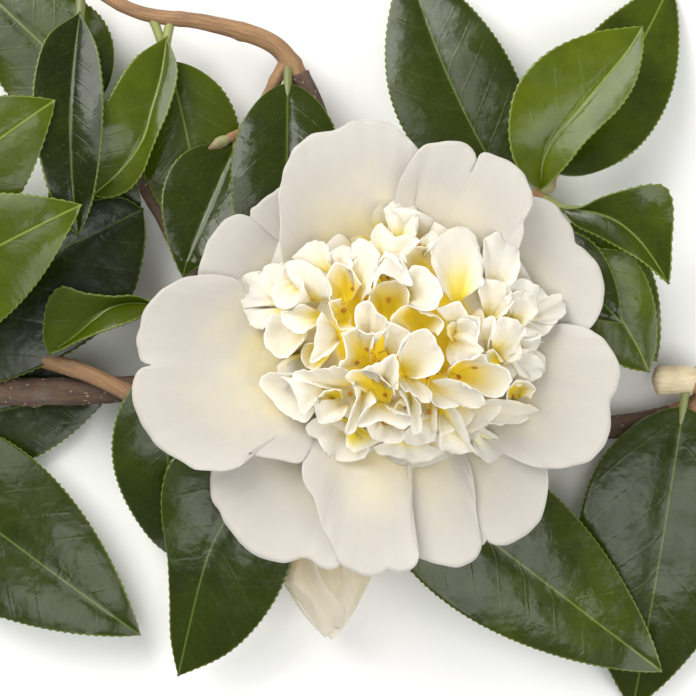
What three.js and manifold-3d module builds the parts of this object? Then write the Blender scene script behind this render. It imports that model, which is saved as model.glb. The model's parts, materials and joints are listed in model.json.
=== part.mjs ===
// A cut flowering branch of camellia: one large anemone-form bloom facing up, its calyx and short
// stalk, a half-open bud, a woody branch with its side boughs, and the leafy shoots they carry.
// Millimetres, +Z up. The branch lies on its cut end and on the tips of its leaves.
import * as THREE from 'three';
import { mergeVertices } from 'three/addons/utils/BufferGeometryUtils.js';
import Module from 'manifold-3d';

const wasm = await Module();
wasm.setup();

// Driving sizes
const BLOOM = { x: 1.5, y: 1, seat: 22.4, whorlStep: 0.8, petalThick: 0.6, clawRadius: 3.5 };
const CENTRE = { x: 4.7, y: 2.9, floor: 25.5, spreadX: 26.5, spreadY: 21.5, thick: 0.55, clearance: 0.4, tidy: 0.03 };
const CALYX = { foot: 15.4, top: 21.6, radius: 7.4, stalkRadius: 2.3 };
const LEAF = {
  thick: 0.9,
  petioleRadius: 0.9,
  rib: 0.6,
  stations: [0.06, 0.18, 0.33, 0.49, 0.65, 0.8, 0.92, 1],
  across: [-1, -0.5, 0, 0.5, 1],
};
const GAP = 0.3;
const LIMB_SIDES = 8;
const SEED = 71;

const bark = new THREE.MeshStandardMaterial({ color: 0x6b4a37, roughness: 0.85, metalness: 0 });
const youngBark = new THREE.MeshStandardMaterial({ color: 0x8a5a3c, roughness: 0.75, metalness: 0 });
const leafGreen = new THREE.MeshStandardMaterial({ color: 0x2b4a14, roughness: 0.35, metalness: 0 });
const petalWhite = new THREE.MeshStandardMaterial({ color: 0xf1efe9, roughness: 0.6, metalness: 0 });
const petalCream = new THREE.MeshStandardMaterial({ color: 0xf8efc4, roughness: 0.6, metalness: 0 });
const calyxGreen = new THREE.MeshStandardMaterial({ color: 0x9a9b5e, roughness: 0.7, metalness: 0 });
const budCream = new THREE.MeshStandardMaterial({ color: 0xf0d9a8, roughness: 0.6, metalness: 0 });

const radians = THREE.MathUtils.degToRad;
const point = (list) => new THREE.Vector3(...list);

// A small seeded generator, so that every build gives the same plant.
function seeded(seed) {
  let state = seed >>> 0;
  return () => {
    state = (Math.imul(state, 1664525) + 1013904223) >>> 0;
    return state / 4294967296;
  };
}

// A closed solid through rings of points that all have the same even count. Both ends are closed by
// strips from each ring's first half to its second half.
function loft(rings) {
  const around = rings[0].length;
  const positions = rings.flat().flatMap((p) => [p.x, p.y, p.z]);
  const faces = [];
  for (let r = 0; r + 1 < rings.length; r++) {
    for (let i = 0; i < around; i++) {
      const a = r * around + i;
      const b = r * around + ((i + 1) % around);
      faces.push(a, b, b + around, a, b + around, a + around);
    }
  }
  const last = (rings.length - 1) * around;
  for (let i = 0; i + 1 < around / 2; i++) {
    const [a, b, c, d] = [i, i + 1, around - 2 - i, around - 1 - i];
    faces.push(a, c, b, a, d, c);
    faces.push(last + a, last + b, last + c, last + a, last + c, last + d);
  }
  const geometry = new THREE.BufferGeometry();
  geometry.setAttribute('position', new THREE.Float32BufferAttribute(positions, 3));
  geometry.setIndex(faces);
  return toSolid(geometry);
}

function toSolid(geometry) {
  const bare = geometry.clone();
  bare.deleteAttribute('normal');
  bare.deleteAttribute('uv');
  const merged = mergeVertices(bare, 1e-4);
  const index = merged.index.array;
  const triangles = [];
  for (let i = 0; i < index.length; i += 3) {
    const [a, b, c] = [index[i], index[i + 1], index[i + 2]];
    if (a !== b && b !== c && c !== a) triangles.push(a, b, c);
  }
  const mesh = new wasm.Mesh({
    numProp: 3,
    vertProperties: merged.attributes.position.array,
    triVerts: new Uint32Array(triangles),
  });
  const solid = new wasm.Manifold(mesh);
  if (solid.volume() > 0) return solid;
  for (let i = 0; i < triangles.length; i += 3) {
    [triangles[i + 1], triangles[i + 2]] = [triangles[i + 2], triangles[i + 1]];
  }
  mesh.triVerts = new Uint32Array(triangles);
  return new wasm.Manifold(mesh);
}

// The largest piece of a cut solid; scraps are dropped.
function largest(solid) {
  return solid.decompose().reduce((best, piece) => (piece.volume() > best.volume() ? piece : best));
}

function toMesh(name, solid, material) {
  const mesh = largest(solid).getMesh();
  const positions = new Float32Array(mesh.numVert * 3);
  for (let i = 0; i < mesh.numVert; i++) {
    positions.set(mesh.vertProperties.subarray(i * mesh.numProp, i * mesh.numProp + 3), i * 3);
  }
  const geometry = new THREE.BufferGeometry();
  geometry.setAttribute('position', new THREE.BufferAttribute(positions, 3));
  geometry.setIndex(new THREE.BufferAttribute(new Uint32Array(mesh.triVerts), 1));
  geometry.computeVertexNormals();
  const made = new THREE.Mesh(geometry, material);
  made.name = name;
  return made;
}

// One tapering limb along a smooth curve through its points, flat at both ends. extra makes it fatter
// and longer by that much all round, for cutting others clear of it.
function limb({ route, radii, steps = 9 }, extra = 0) {
  const curve = new THREE.CatmullRomCurve3(route.map(point), false, 'centripetal');
  const frames = curve.computeFrenetFrames(steps, false);
  const rings = [];
  for (let i = 0; i <= steps; i++) {
    const share = i / steps;
    const past = i === 0 ? -extra : i === steps ? extra : 0;
    const centre = curve.getPointAt(share).addScaledVector(frames.tangents[i], past);
    const radius = THREE.MathUtils.lerp(radii[0], radii[1], share) + extra;
    const ring = [];
    for (let k = 0; k < LIMB_SIDES; k++) {
      const turn = ((k + 0.5) / LIMB_SIDES) * 2 * Math.PI;
      ring.push(
        centre
          .clone()
          .addScaledVector(frames.normals[i], radius * Math.cos(turn))
          .addScaledVector(frames.binormals[i], radius * Math.sin(turn)),
      );
    }
    rings.push(ring);
  }
  return loft(rings);
}

// A blade's half width, from 0 to 1 of its widest, at a share of the way from its foot to its tip.
function bladeOutline(t) {
  const [rise, fall] = [0.62, 0.95];
  const widest = rise / (rise + fall);
  return (t / widest) ** rise * ((1 - t) / (1 - widest)) ** fall;
}

// A leaf with its petiole: from is the petiole's root and to is the blade's tip. arch lifts the middle
// of the midrib, bend moves it sideways, roll turns the blade about its length, fold raises both
// halves into a V and curl turns their margins down.
function leaf({ from, to, width, petiole = 6, arch = 3, bend = 0, roll = 0, fold = 10, curl = 0.12 }) {
  const root = point(from);
  const chord = point(to).sub(root);
  const foot = petiole / chord.length();
  const along = chord.clone().normalize();
  const lift = new THREE.Vector3(0, 0, 1).addScaledVector(along, -along.z).normalize();
  const left = lift.clone().cross(along);
  const turn = radians(roll);
  const side = left.clone().multiplyScalar(Math.cos(turn)).addScaledVector(lift, Math.sin(turn));
  const up = lift.clone().multiplyScalar(Math.cos(turn)).addScaledVector(left, -Math.sin(turn));
  const bladeStations = LEAF.stations.map((t) => foot + (1 - foot) * t);
  const rings = [0, 0.6 * foot, foot, ...bladeStations].map((s) => {
    const bow = 4 * s * (1 - s);
    const t = Math.max(0, (s - foot) / (1 - foot));
    const isBlade = THREE.MathUtils.smoothstep(s, 0.7 * foot, foot + 0.12 * (1 - foot));
    const middle = root.clone().addScaledVector(chord, s);
    middle.addScaledVector(up, arch * bow).addScaledVector(side, bend * bow);
    const half = Math.max(LEAF.petioleRadius * (1 - 0.7 * t), (width / 2) * bladeOutline(t));
    return bladeRing({ middle, side, up, half, isBlade, fold: radians(fold), curl, tipShare: 1 - s });
  });
  return loft(rings);
}

// One cross-section of a leaf: a closed ring of points over its upper face and back under it.
function bladeRing({ middle, side, up, half, isBlade, fold, curl, tipShare }) {
  const crease = 0.05;
  const slope = Math.sin(fold) * isBlade;
  const top = [];
  const bottom = [];
  for (const v of LEAF.across) {
    const reach = Math.hypot(v, crease);
    const rise = slope * reach - curl * isBlade * v * v;
    const tilt = slope * (v / reach) - 2 * curl * isBlade * v;
    const lateral = v * Math.cos(fold * isBlade);
    const place = middle.clone().addScaledVector(side, half * lateral).addScaledVector(up, half * rise);
    const out = up.clone().addScaledVector(side, -tilt).normalize();
    const petioleThick = LEAF.petioleRadius * (1 - 0.75 * v * v) + 0.1;
    const thick = THREE.MathUtils.lerp(petioleThick, LEAF.thick / 2, isBlade);
    const rib = v === 0 ? LEAF.rib * isBlade * tipShare : 0;
    top.push(place.clone().addScaledVector(out, thick));
    bottom.push(place.clone().addScaledVector(out, -thick - rib));
  }
  return [...top, ...bottom.reverse()];
}

// A thin petal whose surface is place(u, v), with u from foot to rim and v across from -1 to 1. Its
// thickness is laid out along the surface's normal.
function petal(place, { lengths, across, thick }) {
  const step = 0.01;
  const rings = lengths.map((u) => {
    const top = [];
    const bottom = [];
    for (const v of across) {
      const [u0, u1] = [Math.max(0, u - step), Math.min(1, u + step)];
      const [v0, v1] = [Math.max(-1, v - step), Math.min(1, v + step)];
      const alongU = place(u1, v).sub(place(u0, v));
      const alongV = place(u, v1).sub(place(u, v0));
      const out = alongV.cross(alongU).normalize();
      const middle = place(u, v);
      top.push(middle.clone().addScaledVector(out, thick / 2));
      bottom.push(middle.clone().addScaledVector(out, -thick / 2));
    }
    return [...top, ...bottom.reverse()];
  });
  return loft(rings);
}

// The guard petals as they lie round the bloom: azimuth of the middle, reach from the bloom's axis to
// the rim, width, whorl (0 is the lowest), and the place and depth of the notch in the rim.
const guardPetals = [
  { azimuth: 187, reach: 43.9, width: 38, whorl: 2.4, notchAt: 0.05, notch: 2.4, rise: 9 },
  { azimuth: 143, reach: 36, width: 33, whorl: 0, notchAt: -0.15, notch: 1.2, rise: 7 },
  { azimuth: 101, reach: 39.6, width: 31, whorl: 1.2, notchAt: 0.4, notch: 0.6, rise: 12 },
  { azimuth: 65, reach: 38, width: 33, whorl: 2.4, notchAt: 0.02, notch: 1.6, rise: 11 },
  { azimuth: 22, reach: 40, width: 35, whorl: 0, notchAt: 0.25, notch: 0.9, rise: 7 },
  { azimuth: -14, reach: 41.9, width: 31, whorl: 1.6, notchAt: 0.1, notch: 0.8, rise: 8 },
  { azimuth: -50, reach: 41.6, width: 30, whorl: 0, notchAt: -0.7, notch: 0.5, rise: 6 },
  { azimuth: -73, reach: 41, width: 24, whorl: 2.6, notchAt: 0.3, notch: 0.5, rise: 8 },
  { azimuth: -94, reach: 41.4, width: 27, whorl: 1.3, notchAt: 0.4, notch: 1, rise: 8 },
  { azimuth: -124, reach: 41.6, width: 34, whorl: 0, notchAt: 0.75, notch: 1.3, rise: 6 },
  { azimuth: -138, reach: 30, width: 24, whorl: 3.6, notchAt: -0.3, notch: 0.6, rise: 7 },
];

function guardPetalPlace({ azimuth, reach, width, whorl, notchAt, notch, rise }) {
  const turn = radians(azimuth);
  const out = new THREE.Vector3(Math.cos(turn), Math.sin(turn), 0);
  const across = new THREE.Vector3(-Math.sin(turn), Math.cos(turn), 0);
  const foot = new THREE.Vector3(BLOOM.x, BLOOM.y, BLOOM.seat);
  foot.addScaledVector(out, BLOOM.clawRadius);
  const length = reach - BLOOM.clawRadius;
  return (u, v) => {
    const spread = 0.24 + 0.76 * Math.sin((Math.PI * u) / 1.75) ** 0.9;
    const rim = 0.56 + 0.44 * (1 - Math.abs(v) ** 2.6);
    const cut = (notch / length) * Math.exp(-(((v - notchAt) / 0.14) ** 2)) * u ** 6;
    const reachHere = length * (u * rim + (1 - rim) * 0.12 * u * (1 - u) - cut);
    const share = reachHere / length;
    const cupped = 0.16 * width * (v * spread) ** 2 * (0.3 + u);
    const level = whorl * BLOOM.whorlStep * Math.min(1, 3 * u);
    const height = level + rise * (1.25 * share - 0.25 * share ** 3) + cupped * 0.35 - 1.6 * share ** 6;
    return foot
      .clone()
      .addScaledVector(out, reachHere)
      .addScaledVector(across, (width / 2) * v * spread)
      .add(new THREE.Vector3(0, 0, height));
  };
}

// The small petals that fill the bloom, in rings from the outside in: how many, how far their feet
// and how long and wide they are, and how far each leans from the vertical at its foot and its rim.
const petaloidRings = [
  { count: 10, foot: 0.3, lift: 0.5, length: 20, width: 16, leanFoot: 46, leanRim: 92 },
  { count: 9, foot: 0.24, lift: 2.5, length: 20, width: 14, leanFoot: 28, leanRim: 74 },
  { count: 6, foot: 0.16, lift: 5, length: 20, width: 14, leanFoot: 14, leanRim: 52 },
  { count: 4, foot: 0.08, lift: 7, length: 19, width: 12, leanFoot: 5, leanRim: 32 },
];

function petaloidPlaces() {
  const random = seeded(SEED);
  const vary = (amount) => (random() * 2 - 1) * amount;
  const places = [];
  petaloidRings.forEach(({ count, foot, lift, length, width, leanFoot, leanRim }, ring) => {
    for (let i = 0; i < count; i++) {
      const turn = ((i + 0.5 * (ring % 2) + vary(0.22)) / count) * 2 * Math.PI;
      const size = 1 + vary(0.12);
      places.push(
        petaloidPlace({
          turn,
          facing: turn + vary(0.35),
          foot,
          lift: lift + vary(0.5),
          length: length * size,
          width: width * (1 + vary(0.15)),
          leanFoot: radians(leanFoot + vary(8)),
          leanRim: radians(leanRim + vary(16)),
          cup: radians(95 + vary(35)),
          twist: vary(0.3),
        }),
      );
    }
  });
  return places;
}

function petaloidPlace({ turn, facing, foot, lift, length, width, leanFoot, leanRim, cup, twist }) {
  const root = new THREE.Vector3(
    CENTRE.x + Math.cos(turn) * foot * CENTRE.spreadX,
    CENTRE.y + Math.sin(turn) * foot * CENTRE.spreadY,
    CENTRE.floor + lift,
  );
  const stretch = Math.hypot(Math.cos(facing) * CENTRE.spreadX, Math.sin(facing) * CENTRE.spreadY) / 24;
  const spineSteps = 12;
  return (u, v) => {
    const spine = root.clone();
    const steps = Math.max(1, Math.round(spineSteps * u));
    let lean = leanFoot;
    for (let i = 0; i < steps; i++) {
      const share = ((i + 0.5) / steps) * u;
      lean = THREE.MathUtils.lerp(leanFoot, leanRim, share);
      const heading = facing + twist * share;
      const run = (length * stretch * u) / steps;
      spine.x += Math.cos(heading) * Math.sin(lean) * run;
      spine.y += Math.sin(heading) * Math.sin(lean) * run;
      spine.z += Math.cos(lean) * run;
    }
    const heading = facing + twist * u;
    const across = new THREE.Vector3(-Math.sin(heading), Math.cos(heading), 0);
    const inward = new THREE.Vector3(
      -Math.cos(heading) * Math.cos(lean),
      -Math.sin(heading) * Math.cos(lean),
      Math.sin(lean),
    );
    const half = (width / 2) * (0.3 + 0.7 * Math.sin((Math.PI * u) / 1.7));
    const bow = half / (cup / 2);
    const angle = (cup / 2) * v;
    const rim = 1 - 0.22 * u * Math.abs(v) ** 2.4;
    return root
      .clone()
      .lerp(spine, rim)
      .addScaledVector(across, bow * Math.sin(angle))
      .addScaledVector(inward, bow * (1 - Math.cos(angle)));
  };
}

// A low dome turned about the vertical, from its radii at named heights.
function turned(profile, x, y, segments = 20) {
  const geometry = new THREE.LatheGeometry(profile.map(([r, z]) => new THREE.Vector2(r, z)), segments);
  geometry.rotateX(Math.PI / 2);
  geometry.translate(x, y, 0);
  return toSolid(geometry);
}

// The guard petals on their receptacle; margin makes every petal larger by about that share, for
// cutting the centre clear of them.
function makeGuardPetals(thick, margin = 0) {
  const lengths = [0, 0.2, 0.42, 0.64, 0.84, 1];
  const across = [-1, -0.66, -0.33, 0, 0.33, 0.66, 1];
  if (margin) {
    lengths.push(1 + margin / 3);
    across.unshift(-1 - margin);
    across.push(1 + margin);
  }
  const blades = guardPetals.map((one) => petal(guardPetalPlace(one), { lengths, across, thick }));
  const receptacle = turned(
    [
      [0, CALYX.top + GAP],
      [6.2, CALYX.top + GAP],
      [6.2, CENTRE.floor - CENTRE.clearance],
      [0, CENTRE.floor - CENTRE.clearance],
    ],
    BLOOM.x,
    BLOOM.y,
  );
  return wasm.Manifold.union([receptacle, ...blades]);
}

function makeCentre() {
  const lengths = [0, 0.35, 0.7, 1];
  const across = [-1, -0.36, 0.36, 1];
  const blades = petaloidPlaces().map((place) => petal(place, { lengths, across, thick: CENTRE.thick }));
  const core = turned(
    [
      [0, CENTRE.floor],
      [5.5, CENTRE.floor],
      [9.5, CENTRE.floor + 2.5],
      [10, CENTRE.floor + 4],
      [7.5, CENTRE.floor + 8],
      [3, CENTRE.floor + 11],
      [0, CENTRE.floor + 11.5],
    ],
    CENTRE.x - 1,
    CENTRE.y - 0.6,
  );
  const mass = wasm.Manifold.union([core, ...blades]);
  const clear = mass.subtract(makeGuardPetals(BLOOM.petalThick + 2 * CENTRE.clearance, 0.05));
  return largest(clear).simplify(CENTRE.tidy);
}

// The calyx: a cup of overlapping sepals on the bloom's short stalk.
function makeCalyx() {
  const cup = turned(
    [
      [0, CALYX.foot],
      [CALYX.stalkRadius, CALYX.foot],
      [CALYX.radius * 0.72, CALYX.foot + 2.2],
      [CALYX.radius, CALYX.top - 1.6],
      [CALYX.radius * 0.94, CALYX.top],
      [0, CALYX.top],
    ],
    BLOOM.x,
    BLOOM.y,
    15,
  );
  return cup;
}

// The half-open bud under the bloom: wrapped petals on a short stalk, from its foot to its tip.
const BUD = { foot: [-9, -25.5, 9.5], tip: [-8, -53, 9], radii: [2.2, 6.2, 8.4, 8, 5, 1], flat: 0.85, sides: 12 };

function makeBud() {
  const foot = point(BUD.foot);
  const axis = point(BUD.tip).sub(foot);
  const along = axis.clone().normalize();
  const side = along.clone().cross(new THREE.Vector3(0, 0, 1)).normalize();
  const up = side.clone().cross(along);
  const rings = BUD.radii.map((radius, i) => {
    const centre = foot.clone().addScaledVector(axis, i / (BUD.radii.length - 1));
    return Array.from({ length: BUD.sides }, (_, k) => {
      const turn = ((k + 0.5) / BUD.sides) * 2 * Math.PI;
      const reach = radius * (1 + 0.07 * Math.cos(3 * turn));
      return centre
        .clone()
        .addScaledVector(side, reach * Math.cos(turn))
        .addScaledVector(up, reach * BUD.flat * Math.sin(turn));
    });
  });
  const stalk = limb({ route: [[-15, -18.8, 9.7], [-12, -20.6, 9.8], BUD.foot, [-9, -28, 9.5]], radii: [1.5, 1.9], steps: 5 });
  return wasm.Manifold.union([stalk, loft(rings)]);
}

// The woody limbs. The main branch lies on the ground at its cut end, which is square to X, and
// turns up under the bloom as its stalk. Each side bough starts inside the main branch.
const limbs = {
  main_branch: {
    route: [[-105, -8, 2.7], [-99, -8, 2.7], [-92, -8, 3.5], [-84, -8, 5.6], [-70, -8, 8], [-47, -7.6, 9], [-24, -5, 9],
      [-7, -1.5, 10], [0.4, 0.6, 11.4], [1.5, 1, 13.4], [1.5, 1, 14.8]],
    radii: [2.9, 1.9],
    steps: 18,
  },
  lower_bough: {
    route: [[-93, -8, 3.2], [-86, -3.5, 6.5], [-79, -0.8, 8.5], [-68.5, 0.4, 9.2], [-60, -2.1, 10.2],
      [-52, -4.7, 12.6], [-44, -8.3, 13.2], [-34, -12.8, 11.5], [-24, -16.6, 10], [-15, -18.8, 9.7]],
    radii: [1.7, 1.4],
    steps: 13,
  },
  upper_left_bough: {
    route: [[-28, -5.5, 9], [-29, 3, 7.5], [-33, 13, 6.4], [-38, 23, 6.2], [-41.4, 29, 6.4], [-42.9, 33, 6.8]],
    radii: [1.9, 1.6],
    steps: 7,
  },
  top_bough: {
    route: [[-17, -3.8, 9.3], [-14, 6, 8.2], [-11, 20, 7.2], [-9.4, 36, 7.2], [-10.8, 42.4, 7.8], [-14, 50, 8.6]],
    radii: [2.4, 2.1],
    steps: 8,
  },
  right_bough: {
    route: [[-3.5, -0.5, 11], [5, 4.5, 10.4], [14, 12, 10.6], [21, 18, 11.4], [25, 21.8, 12.2]],
    radii: [1.9, 1.4],
    steps: 6,
  },
  lower_right_bough: {
    route: [[-12, -2.7, 9.8], [-5, -6.5, 7.6], [8, -10, 6], [26, -13, 5], [44, -14.5, 4.5], [55, -12.5, 4.5]],
    radii: [2.3, 2.1],
    steps: 8,
  },
};

// The leafy shoots: the limb that carries each, its twigs, and its leaves.
const shoots = {
  left_leaves: {
    carrier: 'main_branch',
    twigs: [{ route: [[-95, -8, 3], [-95, -2, 8], [-95, 7, 12], [-96, 18, 13.5]], radii: [1.7, 1], steps: 5 }],
    leaves: [
      { from: [-95, 4, 11], to: [-52.2, 25.2, 26], width: 25, arch: 4.5, fold: 6 },
      { from: [-95, 1, 9.8], to: [-41.8, 25.1, 9.2], width: 27, arch: 2, fold: 8 },
      { from: [-95.9, 17, 13.4], to: [-57.4, 44.3, 19.5], width: 25, arch: 2, fold: 6 },
    ],
  },
  lower_left_leaves: {
    carrier: 'main_branch',
    twigs: [{ route: [[-98, -8, 2.7], [-96, -13, 2.7], [-91, -16.8, 2.2]], radii: [1.6, 1.1], steps: 3 }],
    leaves: [
      { from: [-95.5, -13.4, 3], to: [-42.9, -52.5, 8], width: 29, arch: 4.5, fold: 8 },
      { from: [-91.5, -16.4, 2.3], to: [-47.8, -7, 2], width: 21, arch: 0, fold: 2, curl: 0.02 },
    ],
  },
  inner_left_leaves: {
    carrier: 'main_branch',
    twigs: [{ route: [[-34, -6.4, 9], [-36, -1, 11.5], [-38, 5.5, 14.5]], radii: [1.4, 1], steps: 4 }],
    leaves: [
      { from: [-37.9, 5.2, 14.4], to: [-59.3, -0.7, 14], width: 17, petiole: 3, arch: 2.5, bend: -2.5, roll: 10, fold: 38 },
      { from: [-37, 2, 13], to: [-37.8, -38.5, 2], width: 20, petiole: 4, arch: 6.8, fold: 6 },
    ],
  },
  upper_left_leaves: {
    carrier: 'upper_left_bough',
    twigs: [{ route: [[-42.6, 32, 6.7], [-43.6, 36, 7.1], [-46, 42, 7.4]], radii: [1.4, 1], steps: 3 }],
    leaves: [
      { from: [-44, 37, 7.1], to: [-60, 13, 3.5], width: 17, petiole: 4, arch: 0, fold: 6 },
      { from: [-45.8, 41.5, 7.3], to: [-72, 66, 5], width: 22, arch: 1, fold: 6 },
    ],
  },
  top_left_leaves: {
    carrier: 'top_bough',
    twigs: [
      {
        route: [[-13.6, 49, 8.5], [-18, 55, 9.4], [-30, 59, 10.6], [-43, 61, 11], [-54, 67, 10]],
        radii: [1.9, 1],
        steps: 8,
      },
      { route: [[-16, 53, 9], [-19.5, 46, 9.6], [-23, 40, 10.8], [-27.2, 37.6, 12.2]], radii: [1.2, 0.9], steps: 5 },
    ],
    leaves: [
      { from: [-15.8, 52.6, 9], to: [-16, 3, 17], width: 20, petiole: 5, arch: 5.5, fold: 8 },
      { from: [-24, 39.4, 11], to: [-34.7, 13, 17.5], width: 19, petiole: 3, arch: 1, roll: 20, fold: 24 },
      { from: [-40.6, 60.6, 11], to: [-31.5, 17, 10.4], width: 23, petiole: 9, arch: 0, fold: 3 },
      { from: [-37, 60.2, 10.9], to: [-52, 26.5, 13], width: 17, petiole: 6, arch: 3, fold: 8 },
      { from: [-53.5, 66.6, 10], to: [-53.4, 18.9, 16], width: 18, petiole: 6, arch: 4, fold: 14 },
    ],
  },
  right_leaves: {
    carrier: 'right_bough',
    twigs: [{ route: [[24.4, 21.2, 12.1], [27.6, 25, 13], [30.4, 28.8, 15]], radii: [1.6, 1.3], steps: 4 }],
    leaves: [
      { from: [30.2, 28.4, 15], to: [48, 58, 18], width: 21, petiole: 3, arch: 2, bend: 3, roll: -18, fold: 26 },
      { from: [27, 24, 12.8], to: [6, 72, 5], width: 23, arch: 3, bend: 2.5 },
      { from: [29.6, 27.8, 14], to: [55, 68, 0.8], width: 20, petiole: 5, arch: 1.5, bend: -1.5 },
      { from: [30, 27.4, 14.6], to: [52.4, 11.6, 21], width: 19, petiole: 5, arch: 2.5, bend: 4, fold: 12 },
      { from: [27.8, 24.4, 12.8], to: [49.9, -4.4, 12], width: 21, petiole: 5, arch: 0.5, bend: 1.5 },
      { from: [27.6, 24, 12], to: [51.9, -2.5, 7], width: 20, petiole: 5, arch: -2, bend: 1.5 },
      { from: [26.4, 22.6, 12.8], to: [44.5, 4.1, 17.5], width: 12, petiole: 4, arch: 1.5 },
    ],
  },
  lower_right_leaves: {
    carrier: 'lower_right_bough',
    twigs: [
      { route: [[53, -13.2, 4.5], [60, -10, 5.4], [61.5, -7, 7], [57, -5.8, 8], [51, -5.9, 8.4]], radii: [2, 2.5] },
    ],
    leaves: [
      { from: [57, -5.8, 8.4], to: [47.8, -67, 0.7], width: 31, petiole: 5, arch: 3, fold: 6 },
      { from: [61, -8, 6.5], to: [84, -40, 2.4], width: 25, arch: 0.5 },
    ],
  },
  bottom_leaves: {
    carrier: 'lower_bough',
    twigs: [{ route: [[-20, -17.8, 9.8], [-17.5, -15.5, 12.2], [-11, -14.6, 13.2], [-4, -15, 13.4]], radii: [1.3, 1] }],
    leaves: [
      { from: [-17.2, -15.6, 12.6], to: [-36, -60, 8], width: 26, petiole: 5, arch: 5.2, roll: 4 },
      { from: [-5, -14.9, 13.4], to: [52.5, -59.2, 8.6], width: 27.5, arch: 2.5, fold: 6 },
    ],
  },
};

const carriers = Object.fromEntries(Object.entries(limbs).map(([name, shape]) => [name, limb(shape, GAP)]));

function makeLimb(name) {
  const whole = limb(limbs[name]);
  return name === 'main_branch' ? whole : whole.subtract(carriers.main_branch);
}

function makeShoot({ carrier, twigs, leaves }) {
  const whole = wasm.Manifold.union([...twigs.map((twig) => limb(twig)), ...leaves.map(leaf)]);
  return whole.subtract(carriers[carrier]);
}

const group = new THREE.Group();
for (const name of Object.keys(limbs)) {
  group.add(toMesh(name, makeLimb(name), name === 'lower_bough' ? youngBark : bark));
}
for (const [name, shoot] of Object.entries(shoots)) group.add(toMesh(name, makeShoot(shoot), leafGreen));
group.add(toMesh('bloom_calyx', makeCalyx(), calyxGreen));
group.add(toMesh('bloom_guard_petals', makeGuardPetals(BLOOM.petalThick), petalWhite));
group.add(toMesh('bloom_centre', makeCentre(), petalCream));
group.add(toMesh('half_open_bud', makeBud().subtract(carriers.lower_bough), budCream));

// The part's origin is under the middle of its bounding box.
const box = new THREE.Box3().setFromObject(group);
const middle = box.getCenter(new THREE.Vector3());
group.position.set(-middle.x, -middle.y, -box.min.z);

export default group;
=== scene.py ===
"""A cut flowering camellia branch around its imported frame: one loose peony-form bloom, a half-open
bud, barked limbs and glossy toothed leaves. Lengths are in millimetres until a mesh is made."""

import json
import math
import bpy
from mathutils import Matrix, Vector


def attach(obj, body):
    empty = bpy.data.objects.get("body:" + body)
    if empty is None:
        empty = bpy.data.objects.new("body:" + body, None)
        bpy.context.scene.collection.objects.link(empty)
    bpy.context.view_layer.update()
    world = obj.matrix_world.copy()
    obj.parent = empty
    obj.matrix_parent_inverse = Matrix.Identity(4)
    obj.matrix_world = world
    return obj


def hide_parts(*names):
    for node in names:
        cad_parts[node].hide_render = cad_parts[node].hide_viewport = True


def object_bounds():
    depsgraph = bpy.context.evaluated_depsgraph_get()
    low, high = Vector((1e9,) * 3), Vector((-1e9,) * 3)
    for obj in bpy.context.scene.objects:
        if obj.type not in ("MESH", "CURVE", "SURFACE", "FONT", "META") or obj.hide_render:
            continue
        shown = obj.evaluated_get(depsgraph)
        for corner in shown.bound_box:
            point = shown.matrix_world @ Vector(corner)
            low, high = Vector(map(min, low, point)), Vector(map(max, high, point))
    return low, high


bl_info = {
    "name": "Camellia Branch",
    "version": (1, 0, 0),
    "blender": (4, 5, 0),
    "location": "View3D > Sidebar > Camellia",
    "description": "Grows a flowering camellia branch, with its bloom, bud, bark and leaves",
    "category": "Object",
}

import bpy
import numpy as np
from bpy.props import FloatProperty, FloatVectorProperty, IntProperty, PointerProperty
from mathutils import Matrix, Vector

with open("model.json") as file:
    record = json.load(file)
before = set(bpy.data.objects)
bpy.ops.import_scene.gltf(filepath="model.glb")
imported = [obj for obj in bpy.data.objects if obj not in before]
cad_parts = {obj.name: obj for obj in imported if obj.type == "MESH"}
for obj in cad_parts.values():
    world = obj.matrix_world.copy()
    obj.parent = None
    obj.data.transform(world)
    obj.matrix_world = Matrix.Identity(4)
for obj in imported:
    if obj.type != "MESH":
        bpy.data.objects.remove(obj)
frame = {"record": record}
CAD_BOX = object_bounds()

# The plan of the branch, as in the solids: the cut end lies at this place in the plan's own frame.
CUT_END = np.array([-105.0, -8.0, 2.7])
SHIFT = np.array(frame["record"]["mounts"][0]["pos_m"]) * 1000.0 - CUT_END
BLOOM_AXIS = (1.5, 1.0)
BLOOM_SEAT = 22.4
CENTRE_AXIS = (4.7, 2.9)
CENTRE_FLOOR = 25.5
CALYX_FOOT, CALYX_TOP, CALYX_RADIUS = 15.4, 21.6, 7.4
GOLDEN_ANGLE = math.radians(137.508)

# Where the photograph was taken from: above this place, at this height over the bloom's rim.
PHOTO_CENTRE = (-4.9, 0.0)
RIM_HEIGHT = 30.0
CAMERA_DISTANCE = 500.0
MM_PER_PIXEL = 0.175
PHOTO_PIXELS = 696

# The mound of petaloids: its middle and reach in photograph pixels, its peak over the centre's floor,
# and the reach in pixels of the core that fills it.
MOUND_MIDDLE = (402, 330)
MOUND_REACH = 180.0
MOUND_PEAK = 19.0
CORE_REACH = 96

# Rows along and columns across each kind of petal and blade, and the petals' thickness at foot and rim.
GUARD_GRID, LIP_GRID, SPIRAL_GRID, BUD_GRID, SCALE_GRID = (36, 85), (22, 33), (22, 17), (40, 27), (22, 15)
BLADE_GRID, DRAWN_GRID = (190, 23), (170, 23)
BUD_THICK, SCALE_THICK = (0.5, 0.25), (0.6, 0.25)

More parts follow.
